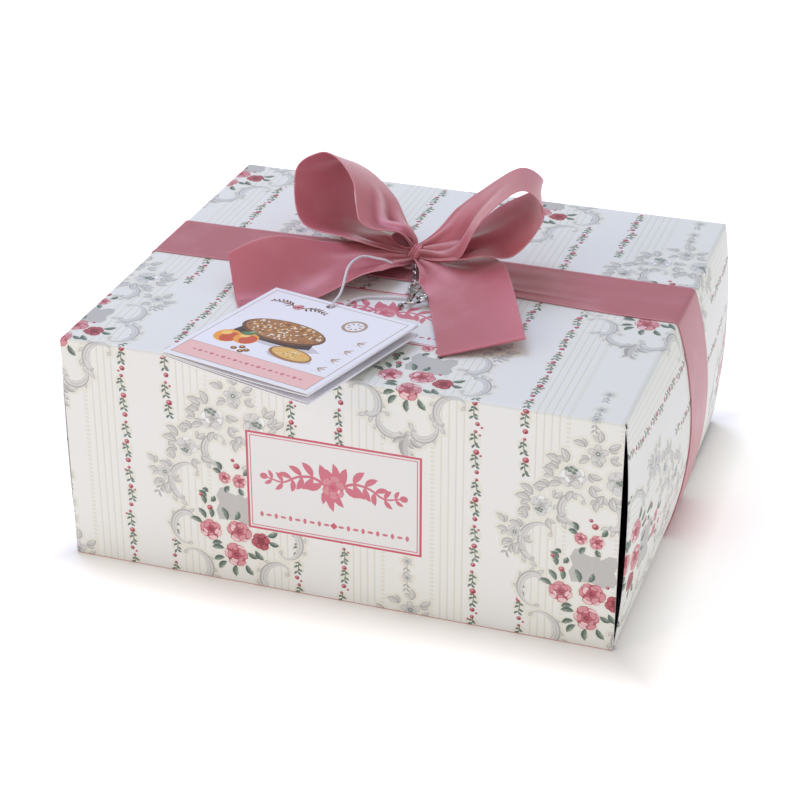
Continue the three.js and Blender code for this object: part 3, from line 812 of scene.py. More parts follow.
def label(x0, y0, x1, y1):
    """A framed panel with two leafy branches that meet at a rose, over a line of dots."""
    shapes = boxes(x0, y0, x1, y1, ("frame", 0), ("label", 1.1), ("frame_light", 1.9), ("label", 2.4))
    mx = (x0 + x1) / 2
    my = (y0 + y1) / 2 - 3
    dots_y = y1 - 8.6
    stem = curve_through([(3, 0), (10, -3.6), (18, -2.4), (25, 1.6), (33, 0)], 13)
    pink = []
    for side in (-1, 1):
        pink.append(stroke(stem, np.linspace(1.7, 0.8, 13)) * (side, 1) + (mx, my))
        for k in range(1, 12, 2):
            ahead = stem[k + 1] - stem[k]
            for lean in (-52, 52):
                way = math.degrees(math.atan2(ahead[1], ahead[0])) + lean
                long = 10.5 - 0.5 * k
                shape = blade(*stem[k], way, long, long * 0.4, 0.1 if lean > 0 else -0.1)
                pink.append(shape * (side, 1) + (mx, my))
        pink.append(oval(mx + side * 34.4, my - 0.2, 2, 1.7, 0, 14))
        for way in (62, -62):
            pink.append(blade(mx, my, way if side > 0 else 180 - way, 11, 3.8))
        for k in range(1, 11):
            pink.append(oval(mx + side * k * 3.6, dots_y, *((1.5, 0.7) if k % 2 else (0.9, 1.5)), 0, 8))
    pink += [blade(mx, my, way, 13, 4) for way in (90, -90)]
    shapes += [("frame_light", outline) for outline in pink]
    shapes += rose(mx, my, 6.4, 0.52, ("frame_light", "frame", "rose_light", "rose_pale"))
    shapes.append(("frame", oval(mx, dots_y, 1.9, 1.9, 0, 4)))
    return shapes


# Printed sheets: the print's outlines are cut into one fine mesh, which is laid on a surface

def within(points, outline):
    """Which points lie inside an outline, by winding."""
    turns = np.zeros(len(points), int)
    x, y = points[:, 0], points[:, 1]
    for (ax, ay), (bx, by) in zip(outline, np.roll(outline, -1, axis=0)):
        if ay == by:
            continue
        cross = (bx - ax) * (y - ay) - (x - ax) * (by - ay)
        if ay < by:
            turns += (ay <= y) & (y < by) & (cross > 0)
        else:
            turns -= (by <= y) & (y < ay) & (cross < 0)
    return turns != 0


def cut(loops, spots, borders=None, near=1e-4):
    """Triangles between the loops' lines, through all their points and the spots. borders are more
    lines, as pairs of places. Points nearer than near become one."""
    points, edges = [], []
    if borders is not None:
        places, index = np.unique(np.round(borders.reshape(-1, 2), 4), axis=0, return_inverse=True)
        points = [Vector(p) for p in places.tolist()]
        edges = [tuple(pair) for pair in index.reshape(-1, 2).tolist()]
    for loop in loops:
        first = len(points)
        points += [Vector(p) for p in loop.tolist()]
        edges += [(first + i, first + (i + 1) % len(loop)) for i in range(len(loop))]
    points += [Vector(p) for p in spots]
    found = delaunay_2d_cdt(points, edges, [], 0, near, False)
    return np.array([tuple(p) for p in found[0]]), np.array(found[2])


def grid_spots(outline, step):
    low, high = outline.min(axis=0), outline.max(axis=0)
    xs = np.arange(low[0] + step / 2, high[0], step)
    ys = np.arange(low[1] + step / 2, high[1], step)
    return np.array([(x, y) for x in xs for y in ys])


def rims_of(triangles):
    """Directed edges that belong to one triangle only."""
    edges = {}
    for a, b, c in triangles.tolist():
        for e in ((a, b), (b, c), (c, a)):
            edges[e] = True
    return [(a, b) for a, b in edges if (b, a) not in edges]


def inks_at(centre, shapes, ground):
    """The ink of the last shape over each place, as its number in INKS."""
    order = list(INKS)
    inked = np.full(len(centre), order.index(ground))
    by_height = np.argsort(centre[:, 1])
    heights = centre[by_height, 1]
    for ink, shape in shapes:
        low, high = shape.min(axis=0), shape.max(axis=0)
        level = by_height[np.searchsorted(heights, low[1]):np.searchsorted(heights, high[1])]
        near = level[(centre[level, 0] >= low[0]) & (centre[level, 0] <= high[0])]
        if len(near):
            inked[near[within(centre[near], shape)]] = order.index(ink)
    return inked


MERGED = 0.05                 # points of the print nearer than this become one
LONGEST = 6                   # of a straight line in the print
STRAIGHT = 0.02               # a point this near the line past it is left out
SAME_PLACE = 3                # decimals to which two points' places agree when they are one


def without_straight(flat, pairs):
    """The same lines without the points at which they go straight on."""
    places = flat.tolist()
    beside = {}
    for a, b in pairs.tolist():
        beside.setdefault(a, set()).add(b)
        beside.setdefault(b, set()).add(a)
    for at in list(beside):
        if len(beside[at]) != 2:
            continue
        a, b = beside[at]
        (ax, ay), (bx, by), (x, y) = places[a], places[b], places[at]
        off = abs((bx - ax) * (y - ay) - (by - ay) * (x - ax))
        if b not in beside[a] and off < STRAIGHT * math.hypot(bx - ax, by - ay):
            del beside[at]
            beside[a] ^= {at, b}
            beside[b] ^= {at, a}
    return np.array([(a, b) for a in beside for b in beside[a] if a < b])


def ink_borders(outline, shapes, ground):
    """The lines where one ink meets another, without those that a later shape hides."""
    flat, triangles = cut([outline, *(o for _, o in shapes)], [])
    inked = inks_at(flat[triangles].mean(axis=1), shapes, ground)
    sides = np.sort(triangles[:, [0, 1, 1, 2, 2, 0]].reshape(-1, 2), axis=1)
    owner = np.repeat(inked, 3)
    rank = np.lexsort((sides[:, 1], sides[:, 0]))
    sides, owner = sides[rank], owner[rank]
    meet = (sides[1:] == sides[:-1]).all(axis=1) & (owner[1:] != owner[:-1])
    sides = sides[1:][meet]
    sides = sides[within(flat[sides].mean(axis=1), outline)]
    lines = flat[without_straight(flat, sides)]
    long = np.linalg.norm(lines[:, 1] - lines[:, 0], axis=1)
    parts = [lines[long <= LONGEST]]
    for a, b in lines[long > LONGEST]:
        count = math.ceil(np.linalg.norm(b - a) / LONGEST)
        stops = np.array([a + (b - a) * k / count for k in range(count + 1)])
        parts.append(np.stack([stops[:-1], stops[1:]], axis=1))
    return np.concatenate(parts)


def trimmed(flat, triangles, outline, holes):
    """The triangles that lie inside the outline and outside the holes."""
    centre = flat[triangles].mean(axis=1)
    keep = within(centre, outline)
    for hole in holes:
        keep &= ~within(centre, hole)
    return triangles[keep]


def facing_out(triangles, point, outward):
    """All the triangles, turned so that the first one faces outwards."""
    a, b, c = point[triangles[0]]
    inwards = np.dot(np.cross(b - a, c - a), outward[triangles[0][0]]) < 0
    return triangles[:, ::-1] if inwards else triangles


def loops_of(rims):
    """The closed loops that the directed edges form."""
    after = dict(rims)
    left = set(after)
    loops = []
    while left:
        i = min(left)
        loop = []
        while i in left:
            left.discard(i)
            loop.append(i)
            i = after[i]
        loops.append(loop)
    return loops


def sheet_piece(name, outline, shapes, surface, finish, slot, node, inside, ground="ground",
                thick=CARD, step=8, holes=(), lines=()):
    """A card laid on surface(x, y), which gives a point and its outward direction. Its outer side
    carries the shapes, its inner side and cut edge are plain."""
    borders = ink_borders(outline, shapes, ground) if shapes else None
    spots = grid_spots(outline, step)
    flat, triangles = cut([outline, *holes, *lines], spots, borders, MERGED)
    triangles = trimmed(flat, triangles, outline, holes)
    inked = inks_at(flat[triangles].mean(axis=1), shapes, ground)
    used, renumbered = np.unique(triangles, return_inverse=True)
    flat = flat[used]
    triangles = facing_out(renumbered.reshape(-1, 3), *surface(*flat.T))
    rims = rims_of(triangles)
    edge = sorted({i for pair in rims for i in pair})
    # The inner side has its own points round the edge, and only a coarse grid between them
    n = len(flat)
    inner_of = {i: n + k for k, i in enumerate(edge)}
    known = {tuple(np.round(flat[i], SAME_PLACE)): inner_of[i] for i in edge}
    inner_flat, inner = cut([flat[loop] for loop in loops_of(rims)], spots)
    number, extra = [], []
    for place in inner_flat:
        at = known.get(tuple(np.round(place, SAME_PLACE)))
        if at is None:
            at = n + len(edge) + len(extra)
            extra.append(place)
        number.append(at)
    inner = np.array(number)[trimmed(inner_flat, inner, outline, holes)]
    # A triangle with two corners at one place would make the mesh invalid
    inner = inner[(inner != np.roll(inner, 1, axis=1)).all(axis=1)]
    point, normal = surface(*np.vstack([flat, flat[edge], np.array(extra).reshape(-1, 2)]).T)
    point[n:] -= thick * normal[n:]
    normal[n:] *= -1
    inner = facing_out(inner, point, normal)
    faces = triangles.tolist() + inner.tolist() + [(b, a, inner_of[a], inner_of[b]) for a, b in rims]
    order = list(INKS)
    plain = [order.index(inside)] * len(inner) + [order.index("board")] * len(rims)
    piece = dressed(name, point, faces, finish, slot, node)
    mesh = piece.data
    owner = np.repeat(np.arange(len(faces)), [len(face) for face in faces])
    vertex = np.zeros(len(owner), int)
    mesh.loops.foreach_get("vertex_index", vertex)
    level = np.zeros(3 * len(faces), np.float32)
    mesh.polygons.foreach_get("normal", level)
    cut_edge = (owner >= len(triangles) + len(inner))[:, None]
    mesh.normals_split_custom_set(np.where(cut_edge, level.reshape(-1, 3)[owner], normal[vertex]).tolist())
    colours = np.array([linear(INKS[ink]) for ink in order])
    painted(piece, colours[np.append(inked, plain).astype(int)[owner]])


SLOPE_STEP = 0.02             # to either side of a point, for the slope there


def with_outward(place):
    """Makes a surface give its outward direction too, from the slope of its own places."""
    def surface(x, y):
        e = SLOPE_STEP
        outward = np.cross(place(x + e, y) - place(x - e, y), place(x, y - e) - place(x, y + e))
        return place(x, y), unit(outward)
    return surface


# Carton panels

HALF_W = CARTON_W / 2
HALF_D = CARTON_D / 2


def wall_out(y, z):
    """How far a side wall bows out."""
    up = np.sin(math.pi * np.clip(z / CARTON_H, 0, 1)) ** 0.8
    along = np.cos(math.pi * np.clip(y / CARTON_D, -0.5, 0.5))
    return up * (WALL_BOW_END + (WALL_BOW - WALL_BOW_END) * along)


def wall_front(z):
    """Where the side walls' front edge stands, behind the slit."""
    open_ = np.sin(math.pi * np.clip(z / CARTON_H, 0, 1)) ** 0.7
    return -HALF_D + SLIT_BEHIND + SLIT_START + SLIT_WIDE * open_


def fold_level(down):
    """Height and inward draw at a distance below the lid's edge, round its fold."""
    a = math.pi / 4 * (1 - np.clip(down / FOLD_RADIUS, -1, 1))
    inset = FOLD_RADIUS * (1 - np.cos(a))
    z = CARTON_H - FOLD_RADIUS * (1 - np.sin(a)) - np.maximum(down - FOLD_RADIUS, 0)
    return z, inset


def drawn_in(v, half, inset):
    """Draws a place across a panel in by the inset of its fold."""
    return v - np.sign(v) * inset * np.minimum(1, np.abs(v) / half)


@with_outward
def on_lid(px, py):
    x = px - HALF_W
    y = HALF_D - py
    over_x = np.abs(x) - (HALF_W - FOLD_RADIUS)
    over_y = np.abs(y) - (HALF_D - FOLD_RADIUS)
    over = np.maximum(np.maximum(over_x, over_y), 0)
    z, inset = fold_level(over - FOLD_RADIUS)
    share = np.where(over > 0, (FOLD_RADIUS - inset) / np.maximum(over, 1e-9), 1)
    x = np.sign(x) * (np.minimum(np.abs(x), HALF_W - FOLD_RADIUS) + np.maximum(over_x, 0) * share)
    y = np.sign(y) * (np.minimum(np.abs(y), HALF_D - FOLD_RADIUS) + np.maximum(over_y, 0) * share)
    sideways = np.where((over_x > 0) & (over > 0), over_x / np.maximum(over, 1e-9), 0)
    x = x + np.sign(x) * wall_out(y, z) * sideways
    return np.stack([x, y, z], axis=-1)


@with_outward
def on_front(px, py):
    z, inset = fold_level(py - CARTON_D)
    x = drawn_in(px - HALF_W, HALF_W, inset)
    return np.stack([x, -HALF_D + inset, z], axis=-1)


@with_outward
def on_back(px, py):
    z, inset = fold_level(-py)
    x = px - HALF_W
    flat = HALF_W - BACK_CORNER
    over = np.maximum(np.abs(x) - flat, 0)
    a = math.pi / 2 - math.pi / 4 * over / BACK_CORNER
    side = flat + wall_out(np.full_like(z, HALF_D), z)
    x = np.sign(x) * (np.minimum(np.abs(x), flat) / flat * side + BACK_CORNER * np.cos(a) * (over > 0))
    y = HALF_D - BACK_CORNER * (1 - np.sin(a))
    return np.stack([drawn_in(x, HALF_W, inset), y - inset, z], axis=-1)


EDGE_ROUND = 1.2              # the wall's front edge turns in behind the slit
EDGE_TUCK = 0.3               # share of its bow that the wall loses towards its front edge
TUCK_REACH = 20


def on_side(side):
    """The right wall for 1 and the left one for -1, with its rounded front edge."""
    @with_outward
    def place(px, py):
        down = px - CARTON_W if side > 0 else -px
        z, inset = fold_level(down)
        y = HALF_D - py
        over = np.clip(y - (HALF_D - BACK_CORNER), 0, BACK_CORNER)
        a = math.pi / 4 * over / BACK_CORNER
        tuck = EDGE_TUCK * wall_out(0, z) / WALL_BOW * (1 - smooth(y - wall_front(z), 0, TUCK_REACH))
        x = HALF_W + wall_out(y, z) * (1 - tuck) - BACK_CORNER * (1 - np.cos(a))
        y = np.where(over > 0, HALF_D - BACK_CORNER + BACK_CORNER * np.sin(a), y)
        past = np.maximum(wall_front(z) + EDGE_ROUND - y, 0)
        b = np.minimum(past / EDGE_ROUND, math.pi / 2)
        x = x - EDGE_ROUND * (1 - np.cos(b)) - np.maximum(past - EDGE_ROUND * math.pi / 2, 0)
        y = np.where(past > 0, wall_front(z) + EDGE_ROUND * (1 - np.sin(b)), y)
        return np.stack([side * drawn_in(x, HALF_W, inset), drawn_in(y, HALF_D, inset), z], axis=-1)
    return place


def edge_line(points, step=4.0):
    """A closed outline with points added so that no side is longer than step."""
    p = np.asarray(points, float)
    found = []
    for a, b in zip(p, np.roll(p, -1, axis=0)):
        count = max(1, math.ceil(np.linalg.norm(b - a) / step))
        found += [a + (b - a) * k / count for k in range(count)]
    return np.array(found)


def fold_lines(x0, y0, x1, y1, aways, sideways):
    """Lines beside a fold, for the mesh to bend at."""
    made = []
    for away in aways:
        if sideways:
            made.append(edge_line([(x0 + away, y0), (x0 + away, y1), (x0 + away + 1e-3, (y0 + y1) / 2)]))
        else:
            made.append(edge_line([(x0, y0 + away), (x1, y0 + away), ((x0 + x1) / 2, y0 + away + 1e-3)]))
    return made


FOLD_STEPS = (0.47, 0.93, 1.4)
CORNER_STEPS = (1, 2, 3)      # the same for the back's upright corners
TURNED_IN = 1.5               # how far the side walls turn in behind the slit
TRIM_H = 0.35                 # of the line along the front's foot
BACK_LIFT = 0.3               # of the back's lower edge

LABEL_FRONT = (92, CARTON_D + 33, 178, CARTON_D + 85.5)
LABEL_LID = (92, 137.5, 178, 189)


def carton_panel(name, outline, shapes, surface, lines):
    # The carton's inner side is inked a dark red: painted shade, for the dark inside seen through the slit
    sheet_piece(name, edge_line(outline), shapes, surface, CARTON_CARD, "carton_card", "carton", "inside_shade",
                lines=lines)


def lid_panel():
    shapes = wallpaper(0, 0, CARTON_W, CARTON_D) + label(*LABEL_LID)
    lines = [edge_line(rectangle(by, by, CARTON_W - by, CARTON_D - by)) for by in FOLD_STEPS]
    carton_panel("carton_lid", rectangle(0, 0, CARTON_W, CARTON_D), shapes, on_lid, lines)


def front_panel():
    bottom = CARTON_D + CARTON_H
    shapes = wallpaper(0, CARTON_D, CARTON_W, bottom) + label(*LABEL_FRONT)
    # A thin reddish-brown line inked along the front's foot
    shapes.append(("foot_line", rectangle(-1, bottom - TRIM_H, CARTON_W + 1, bottom + 1)))
    lines = fold_lines(0, CARTON_D, CARTON_W, bottom, FOLD_STEPS, False)
    carton_panel("carton_front", rectangle(0, CARTON_D, CARTON_W, bottom), shapes, on_front, lines)


def back_panel():
    lines = fold_lines(0, 0, CARTON_W, 0, [-s for s in FOLD_STEPS], False)
    lines += fold_lines(0, -CARTON_H, 0, 0, CORNER_STEPS, True)
    lines += fold_lines(CARTON_W, -CARTON_H, 0, 0, [-s for s in CORNER_STEPS], True)
    shapes = wallpaper(0, -CARTON_H, CARTON_W, 0)
    carton_panel("carton_back", rectangle(0, -CARTON_H + BACK_LIFT, CARTON_W, 0), shapes, on_back, lines)


def lower_edge(y, side):
    """Height of a side wall's lower edge: over the band's channel, and raised at the right rear."""
    raised = RAISED_EDGE * np.clip((y - RAISED_FROM) / (RAISED_FULL - RAISED_FROM), 0, 1) * (side > 0)
    channel = np.where(np.abs(y - BAND_Y) < RIBBON_W / 2 + 1, CHANNEL_H, 0.05)
    return np.maximum(raised, channel)


FLAP_TOP = 3.0                # the side walls' turned edge, down from the lid
FLAP_LOW = CARTON_H - 1.5


def side_panel(side, name):
    """Its outline goes along the lower edge, up the turned edge behind the slit, and back along the top."""
    def across(down):
        return CARTON_W + down if side > 0 else -down

    downs = np.linspace(FLAP_LOW, FLAP_TOP, 40)
    start = HALF_D - (wall_front(CARTON_H - downs) + EDGE_ROUND)
    path = [(HALF_D - y, CARTON_H - lower_edge(y, side)) for y in np.linspace(HALF_D, -HALF_D + 6, 60)]
    path += [(start[0] - 0.5, CARTON_H - 0.05), (start[0], FLAP_LOW)]
    path += [(at + TURNED_IN, d) for at, d in zip(start, downs)] + [(start[-1], FLAP_TOP)]
    path += [(HALF_D - wall_front(CARTON_H) - EDGE_ROUND, 0), (0, 0)]
    x0, x1 = (CARTON_W, CARTON_W + CARTON_H) if side > 0 else (-CARTON_H, 0)
    shapes = wallpaper(x0, 0, x1, CARTON_D - 1)
    lines = fold_lines(across(0), 0, 0, CARTON_D - 3, [side * s for s in FOLD_STEPS], True)
    lines += fold_lines(x0, 0, x1, 0, CORNER_STEPS, False)
    for past in (0, 0.5, 1.0):
        bend = np.array([(across(d), HALF_D - wall_front(CARTON_H - d) - EDGE_ROUND + past)
                         for d in np.linspace(FLAP_TOP, FLAP_LOW, 40)])
        lines.append(np.vstack([bend, bend[::-1] + (0, 1e-3)]))
    carton_panel(name, [(across(down), py) for py, down in path], shapes, on_side(side), lines)


lid_panel()
front_panel()
back_panel()
side_panel(1, "carton_side_right")
side_panel(-1, "carton_side_left")


# Plain finish for the tray, which stays as the frame's own node

def tray_board(name):
    finish = Finish(name, Specular_IOR_Level=0.3)
    fibre = finish.noise(finish.place(), 1.8, 4)
    # Its lavender grey is painted shade: the tray is white board, seen only in the shade under the side
    # walls; the fibre tone varies at random
    finish.feed("Base Color", finish.mixed((206, 199, 214), (186, 178, 198), (fibre * 1.4 - 0.3).clipped()))
    finish.feed("Roughness", 0.62 + fibre * 0.15)
    finish.bumped(fibre, 0.00008)
    return finish.material


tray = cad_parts["carton_tray"]
tray.data.materials.clear()
tray.data.materials.append(tray_board("tray_card"))


# Ribbon strips

GATHERED = 3                  # half width at the knot
PLEATS = 1.5                  # waves of the gathers, from edge to edge
STRIP_COLUMNS = 48
SELVEDGE = (0.955, 0.985)     # where it starts and is full, as shares of the half width
RIDGE_FULL = 1.1
RIDGE_REACH = 4               # columns to either side that a ridge is measured against


def shell_faces(rows, columns, closed=False):
    """Faces of a thick sheet's front, back and edges, where the back's points follow the front's. In
    a closed one the last row joins the first."""
    size = rows * columns
    number = np.arange(size).reshape(rows, columns).tolist()
    faces = []
    for i in range(rows if closed else rows - 1):
        here, there = number[i], number[(i + 1) % rows]
        for a, b, c, d in zip(here, there, there[1:], here[1:]):
            faces += [(a, b, c, d), (size + a, size + d, size + c, size + b)]
        a, b, c, d = here[0], there[0], there[-1], here[-1]
        faces += [(a, size + a, size + b, b), (d, c, size + c, size + d)]
    if not closed:
        for a, b, c, d in zip(number[0], number[0][1:], number[-1], number[-1][1:]):
            faces += [(a, b, size + b, size + a), (c, size + c, size + d, d)]
    return faces


def weave(piece, across, run, edge, front, back):
    """Keeps at each point where it lies in the ribbon, and its shares of painted highlight and painted
    shade from the folds.
    """
    facts = np.stack(np.broadcast_arrays(across, run, edge), axis=-1).reshape(-1, 3)
    for name, values in (("strip", (facts, facts)), ("folds", (front, back))):
        layer = piece.data.attributes.new(name, "FLOAT_VECTOR", "POINT")
        layer.data.foreach_set("vector", np.vstack(values).astype(float).ravel())


def strip(name, stations, rows, gathers, near_gathers, deep, sag, skew, creases, node):
    """A ribbon whose middle follows the stations, drawn together at the knot: softly on its far side,
    sharply on its near one. creases are long soft folds that start at the knot: where across they
    start and end, their width, depth, how far along they reach, and at which end."""
    middle = curve_through([at for at, _ in stations], rows + 1)
    across = unit(curve_through([way for _, way in stations], rows + 1))
    along = unit(np.gradient(middle, axis=0))
    normal = unit(np.cross(along, across))
    u = np.linspace(0, 1, rows + 1)[:, None]
    v = np.linspace(-1, 1, STRIP_COLUMNS + 1)[None, :]
    from_start = np.linalg.norm(middle - middle[0], axis=1)[:, None]
    from_end = np.linalg.norm(middle - middle[-1], axis=1)[:, None]
    soft = smooth(from_start, 0, gathers[0])
    sharp = np.minimum(from_start / near_gathers[0], 1)
    if gathers[1]:
        soft = np.minimum(soft, smooth(from_end, 0, gathers[1]))
        sharp = np.minimum(sharp, from_end / near_gathers[1])
    opened = np.where(v < 0, sharp, soft)
    half = GATHERED + (RIBBON_W / 2 - GATHERED) * opened
    pleats = np.sin(math.pi * (PLEATS * v + 0.25)) + 0.45 * np.sin(math.pi * (3.3 * PLEATS * v + 0.6))
    fold = deep * (1 - np.minimum(soft, sharp)) ** 0.8 * pleats
    for v0, v1, wide, height, reach, end in creases:
        run = from_start if end == 0 else from_end
        place = v0 + (v1 - v0) * smooth(run, 0, reach)
        fade = smooth(run, 0, 5) * (1 - smooth(run, 0.4 * reach, reach))
        fold = fold + height * fade * np.exp(-(((v - place) / wide) ** 2))
    hang = smooth(u, 0.1, 0.7)
    dip = sag * hang * soft * (1 - v * v) * (1 - 0.5 * v)
    cut_v = skew * smooth(u, 0.5, 1) * v
    point = (middle[:, None, :] + across[:, None, :] * (half * v)[..., None]
             + along[:, None, :] * cut_v[..., None] + normal[:, None, :] * (fold + dip)[..., None])
    point[..., 2] = np.maximum(point[..., 2], CARTON_H + RIBBON_REST)
    strip_mesh(name, point, half * v, fold, node)


def strip_mesh(name, point, across, fold, node):
    rows, columns = point.shape[:2]
    normal = unit(np.cross(np.gradient(point, axis=0), np.gradient(point, axis=1)))
    edge = smooth(np.abs(np.linspace(-1, 1, columns))[None, :, None], *SELVEDGE)
    away = normal * (RIBBON_T * (0.8 + 0.45 * edge)) / 2
    points = np.vstack([(point + away).reshape(-1, 3), (point - away).reshape(-1, 3)])
    piece = dressed(name, points, shell_faces(rows, columns), SATIN, "ribbon_satin", node)
    steps = np.linalg.norm(np.diff(point[:, columns // 2], axis=0), axis=1)
    run = np.concatenate([[0], np.cumsum(steps)])[:, None]
    weave(piece, across, run, edge[..., 0], ridges(fold), ridges(-fold))


def ridges(fold):
    """How much painted highlight and painted shade each point gets, by how far it stands above and below
    the points to its sides.
    """
    far = RIDGE_REACH
    away = fold - (np.roll(fold, far, axis=1) + np.roll(fold, -far, axis=1)) / 2
    away[:, :far] = 0
    away[:, -far:] = 0
    rise = np.clip(away / RIDGE_FULL, -1, 1)
    shares = (np.maximum(rise, 0) * 0.6, np.maximum(-rise, 0) * 0.5, 0 * rise)
    return np.stack(shares, axis=-1).reshape(-1, 3)


LOOP_RIGHT = [
    ((-1.2, 11.6, 125), (0, 0.89, 0.3)), ((25.5, 13.2, 133.7), (-0.36, 0.93, -0.07)),
    ((42.7, 18.9, 140.6), (-0.41, 0.88, 0.24)), ((56.9, 22.4, 154.8), (-0.38, 0.92, -0.05)),
    ((56.3, 23.6, 163.6), (-0.14, 0.97, -0.19)), ((45.9, 22.1, 166.1), (-0.2, 0.98, -0.08)),
    ((29, 15.3, 152.2), (-0.31, 0.95, -0.03)), ((15.9, 13.1, 134.5), (-0.29, 0.9, 0.32)),
    ((-1.6, 11, 127), (-0.13, 0.85, 0.4)),
]
LOOP_LEFT = [
    ((-2, 11.8, 124.8), (0.27, 0.94, -0.22)), ((-27.2, 22, 125.6), (0.4, 0.87, -0.3)),
    ((-55.5, 35.3, 126), (0.48, 0.84, -0.25)), ((-64, 48.5, 145.4), (0.46, 0.82, -0.33)),
    ((-60.6, 52, 154.5), (0.03, 0.9, -0.43)), ((-48.3, 50.2, 152.1), (0.12, 0.87, -0.48)),
    ((-33.6, 39.4, 144.6), (0.25, 0.84, -0.48)), ((-22, 20.9, 135.4), (0.27, 0.92, -0.27)),
    ((-8.6, 15.2, 134.8), (0.05, 0.95, -0.3)), ((-1.8, 11.2, 127.4), (-0.06, 0.85, -0.5)),
]
TAIL_LEFT = [
    ((-2.2, 9.6, 124.2), (-0.2, 0.85, 0.35)), ((-14.9, 0.5, 126.4), (-0.65, 0.76, -0.02)),
    ((-30.9, -13, 129), (-0.71, 0.7, 0.03)), ((-53.1, -36.3, 129.5), (-0.62, 0.58, 0.53)),
    ((-73.8, -52.4, 126.6), (-0.47, 0.81, 0.36)),
]
TAIL_RIGHT = [
    ((-0.6, 9.6, 123.6), (0.5, 0.8, -0.2)), ((14.9, 1.4, 125.2), (0.52, 0.85, -0.03)),
    ((27.2, -8.1, 126.3), (0.73, 0.65, 0.2)), ((36.7, -24.9, 126.1), (0.86, 0.41, 0.31)),
    ((57.4, -72.5, 121.4), (0.87, 0.47, 0.15)),
]
strip("satin_loop_right", LOOP_RIGHT, 150, (26, 24), (26, 16), 1.0, 0, 0,
      [(-0.15, 0.15, 0.24, 2.4, 62, 1), (-0.55, -0.7, 0.1, -1.4, 22, 1), (0.6, 0.7, 0.16, -1.0, 44, 1),
       (0.1, 0.3, 0.16, 1.2, 46, 0), (-0.5, -0.5, 0.14, -1.0, 40, 0)],
      "bow_loop_right")
strip("satin_loop_left", LOOP_LEFT, 160, (26, 19), (26, 27), 1.0, 0, 0,
      [(-0.2, 0.05, 0.2, 2.0, 56, 1), (0.45, 0.4, 0.16, -1.6, 50, 1), (0.75, 0.8, 0.12, 1.0, 44, 1),
       (-0.2, -0.1, 0.16, 1.3, 46, 0), (0.45, 0.5, 0.14, -1.2, 40, 0)],
      "bow_loop_left")
strip("satin_tail_right", TAIL_RIGHT, 90, (28, 0), (26, 0), 1.1, 0, 0.5,
      [(-0.3, -0.2, 0.2, 1.3, 44, 0), (0.35, 0.35, 0.18, -1.1, 40, 0)], "bow_tail_right")
strip("satin_tail_left", TAIL_LEFT, 90, (28, 0), (26, 0), 1.1, 6.5, 0,
      [(-0.3, -0.2, 0.2, 1.3, 46, 0), (0.3, 0.4, 0.18, -1.1, 50, 0)], "bow_tail_left")


# The band round the carton

def band_route(y):
    """The closed line of the band's middle layer at one place across it."""
    low = CHANNEL_H - BAND_LIFT
    xs = np.linspace(0, HALF_W - FOLD_RADIUS, 40)
    half = [(x, CARTON_H + BAND_LIFT) for x in xs]
    for a in np.radians(np.linspace(75, 0, 6)):
        z = CARTON_H - FOLD_RADIUS * (1 - math.sin(a))
        x = HALF_W + float(wall_out(y, z)) - FOLD_RADIUS * (1 - math.cos(a))
        half.append((x + BAND_LIFT * math.cos(a), z + BAND_LIFT * math.sin(a)))
    for z in np.linspace(CARTON_H - FOLD_RADIUS - 1, CHANNEL_H + 0.6, 46):
        half.append((HALF_W + float(wall_out(y, z)) + BAND_LIFT, z))
    half.append((HALF_W + float(wall_out(y, CHANNEL_H)) + 0.4 * BAND_LIFT, low + 0.1))
    half += [(x, low) for x in np.linspace(HALF_W - 1, 0, 12)]
    other = [(-x, z) for x, z in half[1:-1]][::-1]
    return half + other


BAND_COLUMNS = 40


def ribbon_band():
    v = np.linspace(-1, 1, BAND_COLUMNS + 1)
    routes = [band_route(BAND_Y - w * RIBBON_W / 2) for w in v]
    point = np.zeros((len(routes[0]) + 1, BAND_COLUMNS + 1, 3))
    for j, route in enumerate(routes):
        for i, (x, z) in enumerate(route + route[:1]):
            point[i, j] = (x, BAND_Y - v[j] * RIBBON_W / 2, z)
    # On the lid the band is drawn together towards the bow, and its front edge is turned under
    x = point[..., 0]
    top = point[..., 2] > CARTON_H
    near = (1 - smooth(np.abs(x), 24, 118)) * top
    y = point[..., 1] - BAND_Y
    point[..., 1] = BAND_Y + y * (1 - 0.24 * near * (y < 0)) + 1.2 * near * (y > 0)
    crease = np.exp(-(((v[None, :] - 0.6) / 0.1) ** 2)) * near * (x > 0)
    fold = 0.9 * crease + 0.35 * near * np.sin(math.pi * (1.5 * v[None, :] + 0.2)) ** 2
    point[..., 2] += fold
    strip_mesh("satin_band", point, v[None, :] * RIBBON_W / 2, fold, "ribbon_band")


ribbon_band()


WRAP_T = 0.5                  # ribbon thickness in the knot
WRAP_R = 5
KNOT_LEAN = 34                # the wrap runs down to the right, seen from the front
RIGHT = np.array([math.cos(VIEW_AZIMUTH), math.sin(VIEW_AZIMUTH), 0])
BACK = unit(eye - VIEW_TARGET)
UP = np.cross(BACK, RIGHT)


def satin_wrap(name, point, fold, across, run, depth=0.0):
    """A gathered turn of ribbon from a grid of points that closes on itself. Its inner side gets
    painted shade by depth, as the inside of a deep fold."""
    rows, columns = point.shape[:2]
    middle = point.mean(axis=0)[None]
    inner = middle + (point - middle) * (1 - WRAP_T / WRAP_R)
    piece = dressed(name, np.vstack([point.reshape(-1, 3), inner.reshape(-1, 3)]),
                    turned_over(shell_faces(rows, columns, True)), SATIN, "ribbon_satin", "bow_knot")
    folds = ridges(np.broadcast_to(fold, (rows, columns)) * 1.0)
    # The inner side gets depth more painted shade
    weave(piece, across, run, 0.0, folds, folds + (0, depth, 0))


def leaning(x, z, lean):
    """Offsets across the view, turned by an angle in degrees."""
    lean = math.radians(lean)
    return ((x * math.cos(lean) - z * math.sin(lean))[..., None] * RIGHT
            + (x * math.sin(lean) + z * math.cos(lean))[..., None] * UP)


WRAP_HALF = 3.7               # half width of the gathered wrap


